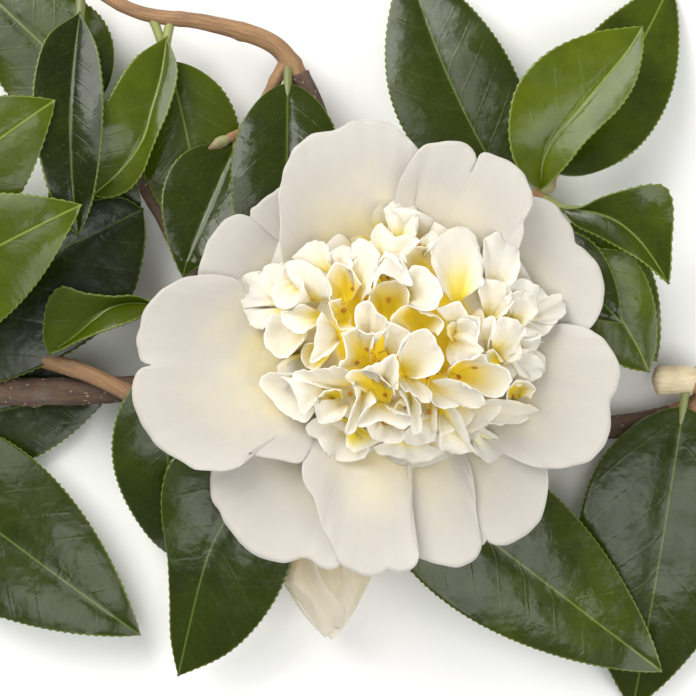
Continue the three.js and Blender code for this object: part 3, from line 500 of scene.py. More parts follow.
class Skins:
    """Gathers closed skins, each a grid of rings, into one mesh with attributes and a bake map."""

    def __init__(self, *attributes):
        self.points, self.faces, self.maps = [], [], []
        self.values = {name: [] for name in attributes}
        self.count = 0

    def add(self, rings, **values):
        """Adds rings as an array (ring, point round it, xyz), closed at both ends."""
        rows, round_it = rings.shape[:2]
        index = self.count + np.arange(rows * round_it).reshape(rows, round_it)
        following = np.roll(index, -1, axis=1)
        sides = np.stack([index[:-1], following[:-1], following[1:], index[1:]], axis=-1).reshape(-1, 4)
        step = np.arange(round_it + 1) / round_it
        rise = np.linspace(0.06, 0.94, rows)
        left, right = step[:-1][None, :], step[1:][None, :]
        low, high = rise[:-1][:, None], rise[1:][:, None]
        grid = np.zeros((rows - 1, round_it, 4, 2))
        for corner, (across, along) in enumerate([(left, low), (right, low), (right, high), (left, high)]):
            grid[:, :, corner, 0] = across
            grid[:, :, corner, 1] = along
        half = round_it // 2
        a = np.arange(half - 1)
        mirrored = round_it - 1 - a
        first = np.stack([index[0][a], index[0][mirrored], index[0][mirrored - 1], index[0][a + 1]],
                         axis=-1)
        last = np.stack([index[-1][a], index[-1][a + 1], index[-1][mirrored - 1], index[-1][mirrored]],
                        axis=-1)
        end_map = np.zeros((half - 1, 4, 2))
        for corner, (offset, level) in enumerate([(0, 0.03), (0, 0.0), (1, 0.0), (1, 0.03)]):
            end_map[:, corner, 0] = (a + offset) / round_it
            end_map[:, corner, 1] = level
        top_map = end_map[:, [0, 3, 2, 1]].copy()
        top_map[..., 1] += 0.97
        self.faces += [sides, first, last]
        self.maps.append(np.concatenate([grid.reshape(-1, 4, 2), end_map, top_map]))
        self.points.append(rings.reshape(-1, 3))
        for name in self.values:
            given = np.broadcast_to(values.get(name, 0.0), (rows, round_it))
            self.values[name].append(given.reshape(-1))
        self.count += rows * round_it

    def make(self, name, material):
        """The mesh object of all the skins, each in its own cell of the bake map."""
        points = to_frame(np.concatenate(self.points))
        faces = np.concatenate(self.faces).astype(np.int32)
        mesh = bpy.data.meshes.new(name)
        mesh.vertices.add(len(points))
        mesh.vertices.foreach_set("co", points.reshape(-1))
        mesh.loops.add(faces.size)
        mesh.loops.foreach_set("vertex_index", faces.reshape(-1))
        mesh.polygons.add(len(faces))
        mesh.polygons.foreach_set("loop_start", np.arange(0, faces.size, 4, dtype=np.int32))
        mesh.polygons.foreach_set("use_smooth", np.ones(len(faces), dtype=bool))
        for attribute, parts in self.values.items():
            layer = mesh.attributes.new(attribute, "FLOAT", "POINT")
            layer.data.foreach_set("value", np.concatenate(parts).astype(np.float32))
        bake = mesh.uv_layers.new(name="OFBake")
        bake.data.foreach_set("uv", self.atlas().reshape(-1).astype(np.float32))
        mesh.update(calc_edges=True)
        mesh.validate()
        made = bpy.data.objects.new(name, mesh)
        bpy.context.scene.collection.objects.link(made)
        mesh.materials.append(material)
        return made

    def atlas(self):
        """The skins' own maps, set out in a square of cells with a margin round each."""
        side = math.ceil(math.sqrt(len(self.maps)))
        placed = []
        for number, part in enumerate(self.maps):
            corner = np.array([number % side, number // side])
            placed.append((corner + BAKE_MARGIN + part * (1 - 2 * BAKE_MARGIN)) / side)
        return np.concatenate(placed)


def ring_of(top, bottom):
    """Rings that run over a skin's upper side and back under it."""
    return np.concatenate([top, bottom[:, ::-1]], axis=1)


def both_sides(upper, under=None):
    """Values for a ring made by ring_of, from those of the upper side and of the lower one."""
    under = upper if under is None else under
    upper, under = np.broadcast_arrays(upper, under)
    return np.concatenate([upper, under[:, ::-1]], axis=1)


def smooth_route(route, count):
    """Evenly spaced points and directions along a smooth curve through a route's points."""
    given = np.asarray(route, dtype=float)
    ends = np.concatenate([[2 * given[0] - given[1]], given, [2 * given[-1] - given[-2]]])
    fine = []
    for i in range(1, len(ends) - 2):
        before, start, stop, after = ends[i - 1:i + 3]
        near, here, far = (max(np.linalg.norm(step) ** 0.5, 1e-4)
                           for step in (start - before, stop - start, after - stop))
        leave = (start - before) / near - (stop - before) / (near + here) + (stop - start) / here
        reach = (stop - start) / here - (after - start) / (here + far) + (after - stop) / far
        leave, reach = leave * here, reach * here
        share = np.linspace(0, 1, 40, endpoint=False)[:, None]
        fine.append(start + leave * share + (3 * (stop - start) - 2 * leave - reach) * share ** 2
                    + (2 * (start - stop) + leave + reach) * share ** 3)
    fine = np.concatenate(fine + [given[-1:]])
    travelled = np.concatenate([[0], np.cumsum(np.linalg.norm(np.diff(fine, axis=0), axis=1))])
    stations = np.linspace(0, travelled[-1], count)
    points = np.stack([np.interp(stations, travelled, fine[:, k]) for k in range(3)], axis=1)
    return points, unit(np.gradient(points, axis=0)), travelled[-1]


def carried_frames(directions):
    """Two directions square to a curve at each point, carried along it without twisting."""
    start = np.cross(directions[0], [0.0, 0.0, 1.0])
    if np.linalg.norm(start) < 1e-3:
        start = np.cross(directions[0], [0.0, 1.0, 0.0])
    normals = [unit(start)]
    for direction in directions[1:]:
        normals.append(unit(normals[-1] - direction * np.dot(normals[-1], direction)))
    normals = np.array(normals)
    return normals, np.cross(directions, normals)


def rings_round(centres, directions, radius, turn):
    """Rings square to a curve, from the radius at each of its points and turns."""
    normals, others = carried_frames(directions)
    return (centres[:, None] + normals[:, None] * (radius * np.cos(turn))[..., None]
            + others[:, None] * (radius * np.sin(turn))[..., None])


def tube(route, radii, sides, spacing, relief=None, dome=(0.0, 0.0)):
    """Rings along a route. relief(share, turn, length) swells the radius, and dome rounds off each end."""
    _, _, length = smooth_route(route, 12)
    rows = max(6, int(length / spacing))
    centres, directions, length = smooth_route(route, rows)
    share, turn = np.linspace(0, 1, rows)[:, None], turns_of(sides)[None, :]
    radius = radii[0] + (radii[1] - radii[0]) * share + 0 * turn
    if relief:
        radius = radius * (1 + relief(share, turn, length))
    for end, size in zip((share, 1 - share), dome):
        if size:
            near = np.clip(end * length / size, 0, 1)
            radius = radius * np.sqrt(np.clip(1 - (1 - near) ** 2, 0.02, 1))
    return rings_round(centres, directions, radius, turn), share * length + 0 * turn


def blade_outline(t):
    """A blade's half width, from 0 to 1, at a share of the way from its foot to its tip."""
    rise, fall = 0.62, 0.95
    widest = rise / (rise + fall)
    t = np.clip(t, 0, 1)
    return (t / widest) ** rise * ((1 - t) / (1 - widest)) ** fall


def leaf_frame(leaf):
    """A leaf's foot, its chord, and its directions to the side and up."""
    start, tip = np.array(leaf["start"], float), np.array(leaf["tip"], float)
    chord = tip - start
    along = unit(chord)
    lift = unit(np.array([0.0, 0.0, 1.0]) - along * along[2])
    left = np.cross(lift, along)
    turn = math.radians(leaf["roll"])
    side = left * math.cos(turn) + lift * math.sin(turn)
    up = lift * math.cos(turn) - left * math.sin(turn)
    return start, chord, side, up


def blade_across(grid):
    """The columns' places across a blade, from -1 to 1, closer together toward the margins."""
    angle = math.pi / 2 * 0.92
    return np.broadcast_to((np.sin(np.linspace(-1, 1, grid[1]) * angle) / math.sin(angle))[None, :], grid)


def teeth(sizes, reach, t, start=0.0):
    """How far a blade's forward teeth stand out, at a reach along it in millimetres and a share t."""
    share = (reach / sizes.tooth_pitch + start) % 1.0
    toothed = smooth(0.1, 0.2, t) * (1 - smooth(0.96, 1.0, t))
    return sizes.tooth_depth * toothed * np.where(share < 0.75, share / 0.75, (1 - share) / 0.25)


def side_veins(reach, lateral, v, t, pitch):
    """How many side veins a place lies along the blade, and how much of a vein it is."""
    phase = (reach - np.abs(lateral) * 0.75 - lateral ** 2 * 0.018 + np.sign(v) * pitch * 0.24) / pitch
    away = ((phase + 0.5) % 1.0 - 0.5) * pitch
    vein = np.exp(-(away / 0.45) ** 2) * smooth(0.02, 0.14, t) * (1 - smooth(0.72, 0.98, np.abs(v)))
    return phase, vein


def add_blade(blades, middle, out, v, half, phase, tint, gloss):
    """Adds a blade's skin round its middle surface, with the values that its material reads."""
    thick = (0.24 - 0.1 * np.abs(v) ** 4)[..., None]
    blades.add(
        ring_of(middle + out * thick, middle - out * thick),
        lateral=both_sides(v * half),
        margin=both_sides(half * (1 - np.abs(v))),
        under=both_sides(np.zeros_like(v), np.ones_like(v)),
        phase=both_sides(phase),
        tint=tint,
        gloss=gloss,
    )


def add_leaf(blades, petioles, leaf, sizes, random):
    """Adds a leaf's toothed blade and the rib that carries it."""
    start, chord, side, up = leaf_frame(leaf)
    length = np.linalg.norm(chord)
    foot = leaf["petiole"] / length
    s = foot * 0.8 + (1 - foot * 0.8) * np.linspace(0.0, 1.0, BLADE_GRID[0])[:, None] ** 0.94
    v = blade_across(BLADE_GRID)
    t = np.clip((s - foot) / (1 - foot), 0, 1)
    is_blade = smooth(0.7 * foot, foot + 0.12 * (1 - foot), s)
    half = np.maximum(0.5 * (1 - 0.7 * t), leaf["width"] / 2 * blade_outline(t))
    reach = t * length * (1 - foot)
    tooth = teeth(sizes, reach, t, random.uniform(0, 1))
    lateral = v * half
    lateral_out = lateral + np.sign(v) * tooth * (np.abs(v) > 0.999)
    slope = math.sin(math.radians(leaf["fold"])) * is_blade
    reach_v = np.hypot(v, 0.05)
    rise = slope * reach_v - leaf["curl"] * is_blade * v * v
    tilt = slope * v / reach_v - 2 * leaf["curl"] * is_blade * v
    cosine = np.cos(math.radians(leaf["fold"]) * is_blade)
    bow = 4 * s * (1 - s)
    middle = (start + chord * s[..., None] + up * (leaf["arch"] * bow)[..., None]
              + side * (leaf["bend"] * bow)[..., None])
    out = unit(up - side * tilt[..., None])
    ripple = waves(random, 3, 2.0, 5.0)
    phase, vein = side_veins(reach, lateral, v, t, leaf["width"] * 0.24)
    quilt = np.cos(phase * 2 * math.pi) * (1 - v ** 2) * is_blade
    height = (-0.22 * np.exp(-(lateral / 0.6) ** 2) * (1 - 0.6 * t) * is_blade
              - 0.012 * vein - 0.02 * quilt * (leaf["width"] / 24)
              + leaf["wave"] * np.sign(v) * np.abs(v) ** 2.5 * ripple(t * 3.1, v * 0.4) * is_blade)
    tip_drop = 0.9 * smooth(0.86, 1.0, t) ** 2
    place = (middle + side * (lateral_out * cosine)[..., None]
             + up * (half * rise - tip_drop)[..., None] + out * height[..., None])
    place[..., 2] = np.maximum(place[..., 2], 0.5)
    tint = leaf["tint"] + random.uniform(-0.06, 0.06)
    add_blade(blades, place, out, v, half, phase, tint, leaf["gloss"])
    share = np.linspace(0, 0.97, 60)
    bow = 4 * share * (1 - share)
    rib = (start + chord * share[:, None] + up * (leaf["arch"] * bow)[:, None]
           + side * (leaf["bend"] * bow)[:, None])
    radius = np.interp(share, [0, foot * 0.3, foot, foot + 0.15, 1], [1.0, 0.85, 0.8, 0.6, 0.12])
    beneath = smooth(foot * 0.5, foot + 0.1, share) * (0.25 + radius * 0.7)
    beneath = beneath + 0.9 * smooth(0.86, 1.0, np.clip((share - foot) / (1 - foot), 0, 1)) ** 2
    rib = rib - up * beneath[:, None]
    rib[:, 2] = np.maximum(rib[:, 2], radius + 0.2)
    directions = unit(np.gradient(rib, axis=0))
    petioles.add(rings_round(rib, directions, radius[:, None], turns_of(10)), tint=tint)


def add_drawn_leaf(blades, petioles, leaf, sizes, random):
    """Adds a leaf given by the lines of its rib and margins, with teeth, veins and rib like the others."""
    rows = DRAWN_GRID[0]
    rib, left, right = (smooth_route([on_photograph(*stop) for stop in leaf[line]], rows)[0][:, None]
                        for line in ("rib", "left", "right"))
    length = np.linalg.norm(np.diff(rib[:, 0], axis=0), axis=1).sum()
    t, v = np.linspace(0, 1, rows)[:, None], blade_across(DRAWN_GRID)
    toward = np.where(v[..., None] < 0, left - rib, right - rib)
    half = np.maximum(np.linalg.norm(toward, axis=-1), 0.5)
    lateral, reach = v * half, t * length
    share = np.abs(v) + teeth(sizes, reach, t) / half * (np.abs(v) > 0.999)
    place = rib + toward * share[..., None]
    place = place + np.array([0.0, 0.0, 0.1]) * (half * (np.abs(v) - v * v))[..., None]
    out = unit(np.cross(np.gradient(place, axis=1), np.gradient(place, axis=0)))
    out = out * np.sign(out[rows // 2, DRAWN_GRID[1] // 2, 2])
    ripple = waves(random, 3, 2.0, 5.0)
    phase, vein = side_veins(reach, lateral, v, t, half.max() * 0.48)
    height = (-0.22 * np.exp(-(lateral / 0.6) ** 2) * (1 - 0.6 * t) * smooth(0, 0.1, t) - 0.012 * vein
              - 0.02 * np.cos(phase * 2 * math.pi) * (1 - v ** 2) * half / 12
              + 0.5 * np.sign(v) * np.abs(v) ** 2.5 * ripple(t * 3.1, v * 0.4) * np.sin(math.pi * t))
    tint = leaf["tint"] + random.uniform(-0.06, 0.06)
    add_blade(blades, place + out * height[..., None], out, v, half, phase, tint, leaf["gloss"])
    below = [tuple(stop - np.array([0, 0, 0.8])) for stop in rib[2:-8:14, 0]]
    petioles.add(tube([leaf["start"]] + below, (0.95, 0.2), 10, 0.8)[0], tint=tint)


def petal_skin(place, grid, thick, row_power=1.0):
    """A petal's rings and coordinates, from place(u, v), with its thickness at the foot and at the rim."""
    u = (np.linspace(0, 1, grid[0]) ** row_power)[:, None] + np.zeros((1, grid[1]))
    v = np.linspace(-1, 1, grid[1])[None, :] + np.zeros((grid[0], 1))
    middle = place(u, v)
    step = 0.004
    along = place(np.minimum(u + step, 1), v) - place(np.maximum(u - step, 0), v)
    across = place(u, np.minimum(v + step, 1)) - place(u, np.maximum(v - step, -1))
    out = unit(np.cross(along, across))
    half_thick = (thick[0] + (thick[1] - thick[0]) * np.maximum(u, np.abs(v) ** 6))[..., None] / 2
    return ring_of(middle - out * half_thick, middle + out * half_thick), u, v


def interpolated(v, stations, line, axes):
    """Places on a line of evenly spaced points, at v from -1 to 1."""
    return np.stack([np.interp(v, stations, line[:, axis]) for axis in range(axes)], axis=-1)


def guard_place(petal, random, ruffle):
    """The surface of a guard petal: the solids' rule for its height, out to the rim in the photograph."""
    turn = math.radians(petal["azimuth"])
    out = np.array([math.cos(turn), math.sin(turn)])
    side = np.array([-out[1], out[0]])
    foot = np.array(BLOOM_AXIS) + out * CLAW_RADIUS
    length, width = petal["reach"] - CLAW_RADIUS, petal["width"]

    def height(plan):
        share = (plan - foot) @ out / length
        aside = (plan - foot) @ side / (width / 2)
        share = np.clip(share + 0.12 * aside ** 2, 0, 1.15)
        level = petal["whorl"] * WHORL_STEP * np.minimum(1, 3 * share)
        rise = petal["rise"] * (1.25 * share - 0.25 * share ** 3)
        cup = 0.05 * width * np.clip(aside, -1, 1) ** 2 * (0.3 + share)
        return BLOOM_SEAT + level + rise + cup - 0.7 * share ** 6

    rim = []
    for px, py in petal["rim"]:
        place = on_photograph(px, py, RIM_HEIGHT)
        for _ in range(4):
            place = on_photograph(px, py, height(place[:2]))
        rim.append(place)
    line, _, around = smooth_route(rim, 240)
    stations = np.linspace(-1, 1, len(line))
    half = around / 2
    spread = np.exp(-(np.linspace(-3, 3, 49)) ** 2 / 2)
    spread = spread / spread.sum()
    calm = np.stack([np.convolve(np.pad(line[:, axis], 24, mode="edge"), spread, "valid")
                     for axis in range(2)], axis=1)
    ends = unit(line[-1, :2] - line[0, :2])
    rim_wave, fine_wave = waves(random, 4, 0.12, 0.35), waves(random, 5, 0.7, 1.8)
    folds, soft = waves(random, 3, 2.0, 4.5), waves(random, 3, 1.0, 3.0)

    def place(u, v):
        near = (smooth(0.55, 1.0, u) ** 2)[..., None]
        edge = interpolated(v, stations, line, 2) * near + interpolated(v, stations, calm, 2) * (1 - near)
        claw = foot + ends * (4.8 * v)[..., None]
        reach = u * (1 + 0.004 * (rim_wave(v * half) + fine_wave(v * half)) * u ** 6)
        plan = claw + (edge - claw) * reach[..., None]
        lift = ruffle * (1.1 * rim_wave(v * half, u) * u ** 4 + 0.3 * fine_wave(v * half, u) * u ** 8)
        lift = lift + 0.45 * folds(v * 2.5, u * 0.6) * np.sin(math.pi * u) + 0.5 * soft(v, u * 2.0) * u
        return np.concatenate([plan, (height(plan) + lift)[..., None]], axis=-1)

    return place


def mound(px, py):
    """The height of the petaloids' mound over its floor, at a place in the photograph."""
    away = math.hypot((px - MOUND_MIDDLE[0]) / 1.08, (py - MOUND_MIDDLE[1]) / 0.94)
    return MOUND_PEAK * (1 - (away / MOUND_REACH) ** 2)


def on_photograph(px, py, z):
    """The plan's place at a height z, of a place in the photograph given in pixels."""
    scale = MM_PER_PIXEL * (RIM_HEIGHT + CAMERA_DISTANCE - z) / CAMERA_DISTANCE
    half = PHOTO_PIXELS / 2
    return np.array([PHOTO_CENTRE[0] + (px - half) * scale, PHOTO_CENTRE[1] + (half - py) * scale, z])


def lip_place(lip, random):
    """The surface of a petaloid, from its foot in the mound to its lip, bulged, creased and ruffled."""
    foot_x, foot_y, over, bulge, _, *line = lip
    low = max(-0.4, mound(foot_x, foot_y) * 0.88 - 4.2) + 2 * max(0, over - 5)
    root = on_photograph(foot_x, foot_y, CENTRE_FLOOR + low)
    stops = [on_photograph(px, py, CENTRE_FLOOR + max(1.2, mound(px, py) + 0.8 * over))
             for px, py in pairs(line)]
    lip_line, _, length = smooth_route(stops, 90)
    stations = np.linspace(-1, 1, len(lip_line))
    facing = np.cross(lip_line[:-1] - root, lip_line[1:] - root).sum(axis=0)
    facing = unit(facing * (1 if facing[2] > 0 else -1))
    side = unit(lip_line[-1] - lip_line[0])
    half = length / 2
    ruffle, fine = waves(random, 4, 0.7, 1.7), waves(random, 4, 2.0, 4.5)
    crease, soft = waves(random, 3, 2.5, 6.0), waves(random, 3, 1.0, 3.0)
    droop = random.uniform(-0.2, 1.1) if bulge > 0 else random.uniform(-0.9, 0.2)

    def place(u, v):
        edge = interpolated(v, stations, lip_line, 3)
        reach = u * (1 + (0.03 * ruffle(v * half * 1.3) + 0.018 * fine(v * half)) * u ** 4)
        claw = root + side * (0.9 * v)[..., None]
        round_out = 1 - 0.75 * v ** 4
        lift = bulge * np.sin(math.pi * np.clip(u, 0, 1) ** 0.8) * round_out
        lift = lift + 0.95 * ruffle(v * half, u) * u ** 3 + 0.4 * fine(v * half, u * 2) * u ** 6
        lift = lift + 0.5 * crease(v * 2.0, u * 0.5) * np.sin(math.pi * u) + 0.3 * soft(v, u * 2.5) * u
        lift = lift - droop * smooth(0.72, 1.0, u) ** 2
        return claw + (edge - claw) * reach[..., None] + facing * lift[..., None]

    return place


class Shade:
    """A procedural material with one Principled surface, built a node at a time."""

    def __init__(self, name):
        self.material = bpy.data.materials.new(name)
        self.material.use_nodes = True
        self.tree = self.material.node_tree
        self.tree.nodes.clear()
        output = self.tree.nodes.new("ShaderNodeOutputMaterial")
        self.surface = self.tree.nodes.new("ShaderNodeBsdfPrincipled")
        self.tree.links.new(self.surface.outputs["BSDF"], output.inputs["Surface"])

    def put(self, socket, value):
        """Links an output to a socket, or sets the socket to a plain value."""
        if isinstance(value, bpy.types.NodeSocket):
            self.tree.links.new(value, socket)
        elif isinstance(value, tuple) and len(value) == 3 and socket.type == "RGBA":
            socket.default_value = (*value, 1.0)
        else:
            socket.default_value = value

    def attribute(self, name):
        """A value that the mesh keeps under a name."""
        made = self.tree.nodes.new("ShaderNodeAttribute")
        made.attribute_type = "GEOMETRY"
        made.attribute_name = name
        return made.outputs["Fac"]

    def place(self):
        """The place on the object, in metres."""
        return self.tree.nodes.new("ShaderNodeTexCoord").outputs["Object"]

    def math(self, operation, first, second=0.0, third=0.0):
        """One sum on up to three numbers."""
        made = self.tree.nodes.new("ShaderNodeMath")
        made.operation = operation
        for socket, value in zip(made.inputs, (first, second, third)):
            self.put(socket, value)
        return made.outputs["Value"]

    def between(self, value, low, high, start=0.0, stop=1.0):
        """The value carried smoothly from low..high to start..stop."""
        made = self.tree.nodes.new("ShaderNodeMapRange")
        made.interpolation_type = "SMOOTHSTEP"
        for socket, given in zip(("Value", "From Min", "From Max", "To Min", "To Max"),
                                 (value, low, high, start, stop)):
            self.put(made.inputs[socket], given)
        return made.outputs["Result"]

    def vector(self, x, y, z):
        """Three numbers as one place."""
        made = self.tree.nodes.new("ShaderNodeCombineXYZ")
        for socket, value in zip(made.inputs, (x, y, z)):
            self.put(socket, value)
        return made.outputs["Vector"]

    def noise(self, scale, where=None, detail=2.0, roughness=0.5, distortion=0.0):
        """Cloudy noise over the object, or over a place that is given."""
        made = self.tree.nodes.new("ShaderNodeTexNoise")
        self.put(made.inputs["Vector"], self.place() if where is None else where)
        for socket, value in (("Scale", scale), ("Detail", detail), ("Roughness", roughness),
                              ("Distortion", distortion)):
            made.inputs[socket].default_value = value
        return made.outputs["Fac"]

    def cells(self, scale):
        """The distance to the nearest edge of a net of cells."""
        made = self.tree.nodes.new("ShaderNodeTexVoronoi")
        made.feature = "DISTANCE_TO_EDGE"
        self.put(made.inputs["Vector"], self.place())
        made.inputs["Scale"].default_value = scale
        return made.outputs["Distance"]

    def mix(self, share, first, second, blend="MIX"):
        """A share of the second colour laid over the first."""
        made = self.tree.nodes.new("ShaderNodeMix")
        made.data_type = "RGBA"
        made.blend_type = blend
        self.put(made.inputs[0], share)
        self.put(made.inputs[6], first)
        self.put(made.inputs[7], second)
        return made.outputs[2]

    def colours(self, value, *stops):
        """A colour ramp: each stop is its position and colour."""
        made = self.tree.nodes.new("ShaderNodeValToRGB")
        made.color_ramp.interpolation = "EASE"
        elements = made.color_ramp.elements
        while len(elements) < len(stops):
            elements.new(0.5)
        for element, (position, colour) in zip(elements, stops):
            element.position = position
            element.color = (*colour, 1.0)
        self.put(made.inputs["Fac"], value)
        return made.outputs["Color"]

    def bump(self, height, distance):
        """The normal of a surface with a relief, whose height 1 stands for a distance in metres."""
        made = self.tree.nodes.new("ShaderNodeBump")
        made.inputs["Distance"].default_value = distance
        self.put(made.inputs["Height"], height)
        return made.outputs["Normal"]

    def finish(self, **sockets):
        """Sets or links the surface's sockets and returns the material."""
        for socket, value in sockets.items():
            self.put(self.surface.inputs[socket.replace("_", " ")], value)
        return self.material


def leaf_material(underside):
    """Glossy leaf green with pale midrib, side veins, a fine net and a matt, paler underside."""
    shade = Shade("camellia_leaf")
    lateral, margin, under, tint, gloss, phase = (shade.attribute(value) for value in BLADE_VALUES)
    blotch = shade.noise(90.0, detail=3.0, roughness=0.6)
    shift = shade.math("ADD", tint, shade.between(blotch, 0.3, 0.7, -0.07, 0.09))
    green = shade.colours(shift, (0.0, (0.011, 0.017, 0.001)), (0.2, (0.023, 0.036, 0.0012)),
                          (0.45, (0.052, 0.074, 0.002)), (0.75, (0.105, 0.138, 0.003)),
                          (1.0, (0.2, 0.25, 0.006)))
    turn = shade.math("SUBTRACT", shade.math("FRACT", shade.math("ADD", phase, 0.5)), 0.5)
    vein = shade.math("MULTIPLY", shade.between(shade.math("ABSOLUTE", turn), 0.02, 0.07, 1.0, 0.0),
                      shade.between(margin, 0.6, 3.0))
    rib = shade.between(shade.math("ABSOLUTE", lateral), 0.08, 0.28, 1.0, 0.0)
    net = shade.cells(900.0)
    fine = shade.between(net, 0.0, 0.12, 1.0, 0.0)
    pale = shade.mix(0.3, green, (0.2, 0.3, 0.06))
    green = shade.mix(shade.math("MULTIPLY", fine, 0.08), green, pale)
    green = shade.mix(shade.math("MULTIPLY", vein, 0.07), green, pale)
    rib_colour = shade.colours(tint, (0.0, (0.08, 0.14, 0.02)), (0.5, (0.26, 0.34, 0.06)),
                               (1.0, (0.46, 0.54, 0.14)))
    green = shade.mix(shade.math("MULTIPLY", rib, 0.58), green, rib_colour)
    green = shade.mix(shade.between(margin, 0.0, 0.26, 0.5, 0.0), green, (0.26, 0.32, 0.06))
    freckle = shade.between(shade.noise(1500.0, detail=1.0), 0.68, 0.76, 0.0, 0.35)
    green = shade.mix(shade.math("MULTIPLY", freckle, blotch), green, (0.16, 0.13, 0.05))
    below = shade.mix(shade.math("MULTIPLY", vein, 0.35), underside, (0.24, 0.3, 0.12))
    below = shade.mix(shade.math("MULTIPLY", tint, 0.3), below, (0.3, 0.38, 0.1))
    sheen = shade.math("MULTIPLY_ADD", gloss, -0.08, 0.24)
    rough = shade.math("ADD", sheen, shade.between(shade.noise(260.0), 0.3, 0.7, -0.04, 0.06))
    rough = shade.math("MULTIPLY_ADD", under, 0.28, rough)
    relief = shade.math("MULTIPLY_ADD", net, 0.07, shade.noise(190.0, detail=2.5, roughness=0.5))
    relief = shade.math("SUBTRACT", relief, shade.math("MULTIPLY", vein, 0.05))
    return shade.finish(Base_Color=shade.mix(under, green, below), Roughness=rough,
                        Normal=shade.bump(relief, 0.00024), Specular_IOR_Level=0.3)


def stem_material(name, young, old, scar):
    """Smooth young stem or woody bark: streaks along it, cracks, and darker scars."""
    shade = Shade(name)
    along, round_x, round_y, tint = (shade.attribute(value) for value in STEM_VALUES)
    where = shade.vector(shade.math("MULTIPLY", along, 0.06), round_x, round_y)
    streak = shade.noise(3.2, where, detail=6.0, roughness=0.65)
    patch = shade.noise(130.0, detail=4.0, roughness=0.6)
    colour = shade.mix(shade.between(streak, 0.3, 0.7), young, old)
    colour = shade.mix(shade.between(patch, 0.45, 0.75, 0.0, 0.7), colour, scar)
    grain = shade.noise(1600.0, detail=3.0, roughness=0.7)
    colour = shade.mix(shade.between(grain, 0.4, 0.75, 0.0, 0.35), colour, old)
    colour = shade.mix(tint, colour, (0.12, 0.17, 0.04))
    height = shade.math("ADD", shade.math("MULTIPLY", streak, 1.2), shade.math("MULTIPLY", grain, 0.5))
    return shade.finish(Base_Color=colour, Roughness=shade.between(patch, 0.2, 0.8, 0.62, 0.85),
                        Normal=shade.bump(height, 0.00028), Specular_IOR_Level=0.35)


def wood_material():
    """A fresh cut across the grain: pale wood in faint rings, darker at the bark."""
    shade = Shade("cut_wood")
    reach = shade.attribute("along")
    ring = shade.math("SINE", shade.math("MULTIPLY", reach, 14.0))
    colour = shade.mix(shade.between(ring, -1.0, 1.0), (0.62, 0.48, 0.28), (0.5, 0.36, 0.2))
    grain = shade.between(shade.noise(1400.0, detail=3.0), 0.35, 0.7, 0.0, 0.5)
    colour = shade.mix(grain, colour, (0.4, 0.28, 0.15))
    colour = shade.mix(shade.between(reach, 2.1, 2.6), colour, (0.14, 0.085, 0.05))
    return shade.finish(Base_Color=colour, Roughness=0.8)


def petal_material(name, body, base, throat, veins, rim, glow):
    """Soft petal: white to cream toward the base, faint veins lengthwise, and a velvety surface."""
    shade = Shade(name)
    share, across, width, seed, yellow = (shade.attribute(value) for value in PETAL_VALUES)
    where = shade.vector(shade.math("MULTIPLY", shade.math("MULTIPLY", across, width), 0.9),
                         shade.math("MULTIPLY", share, 2.2), seed)
    streak = shade.noise(1.5, where, detail=4.0, roughness=0.55, distortion=0.3)
    wander = shade.noise(170.0, detail=3.0)
    depth = shade.math("ADD", shade.math("SUBTRACT", 1.0, share),
                       shade.between(wander, 0.3, 0.7, -0.06, 0.06))
    reach = shade.math("MULTIPLY_ADD", yellow, 0.7, 0.3)
    # Toward the foot the base colour comes in; in the guard petals it is lighter than the body, as painted
    # light against the mound's shade.
    toward = shade.between(shade.math("SUBTRACT", depth, shade.math("SUBTRACT", 1.0, reach)), -0.3, 0.34)
    colour = shade.mix(toward, body, base)
    throat_edge = shade.math("SUBTRACT", 0.98, shade.math("MULTIPLY", reach, 0.8))
    deep = shade.between(shade.math("SUBTRACT", depth, throat_edge), -0.12, 0.4)
    colour = shade.mix(deep, colour, throat)
    colour = shade.mix(shade.between(streak, 0.4, 0.7, 0.0, 0.45), colour, veins, "MULTIPLY")
    # Toward the rim and the sides each petal takes the rim colour: partly the thin edge's paler tone,
    # partly a painted highlight along the edge.
    edge = shade.math("MAXIMUM", share, shade.math("ABSOLUTE", across))
    colour = shade.mix(shade.between(edge, 0.78, 1.0, 0.0, 0.3), colour, rim)
    velvet = shade.math("MULTIPLY", shade.noise(2600.0, detail=1.0), 0.12)
    height = shade.math("MULTIPLY_ADD", streak, 0.7, velvet)
    return shade.finish(Base_Color=colour, Roughness=0.56, Subsurface_Weight=glow,
                        Subsurface_Scale=0.0035, Subsurface_Radius=(0.8, 0.8, 0.75),
                        Specular_IOR_Level=0.3, Normal=shade.bump(height, 0.0001))


def sepal_material():
    """Calyx and bud scales: olive, turning brown toward the tip, with a silvery down."""
    shade = Shade("bud_scale")
    share = shade.attribute("share")
    wander = shade.noise(300.0, detail=4.0, roughness=0.6)
    colour = shade.colours(shade.math("ADD", share, shade.between(wander, 0.3, 0.7, -0.15, 0.15)),
                           (0.0, (0.14, 0.16, 0.05)), (0.55, (0.3, 0.3, 0.13)), (0.9, (0.2, 0.13, 0.06)))
    silver = shade.between(shade.noise(2400.0, detail=2.0), 0.5, 0.75, 0.0, 0.35)
    colour = shade.mix(silver, colour, (0.5, 0.48, 0.36))
    return shade.finish(Base_Color=colour, Roughness=0.68, Normal=shade.bump(wander, 0.0002))


def plain_material(name, colour, roughness):
    """A single colour with a slight grain in it."""
    shade = Shade(name)
    grain = shade.noise(900.0, detail=3.0)
    darker = tuple(channel * 0.72 for channel in colour)
    grained = shade.mix(shade.between(grain, 0.35, 0.7), colour, darker)
    return shade.finish(Base_Color=grained, Roughness=roughness)


def settle(piece, slot, *nodes):
    """A finished piece: it rides on the root body and hides the nodes that it stands for. The slot is not
    used.
    """
    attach(piece, "root")
    if nodes:
        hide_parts(*nodes)
    return piece


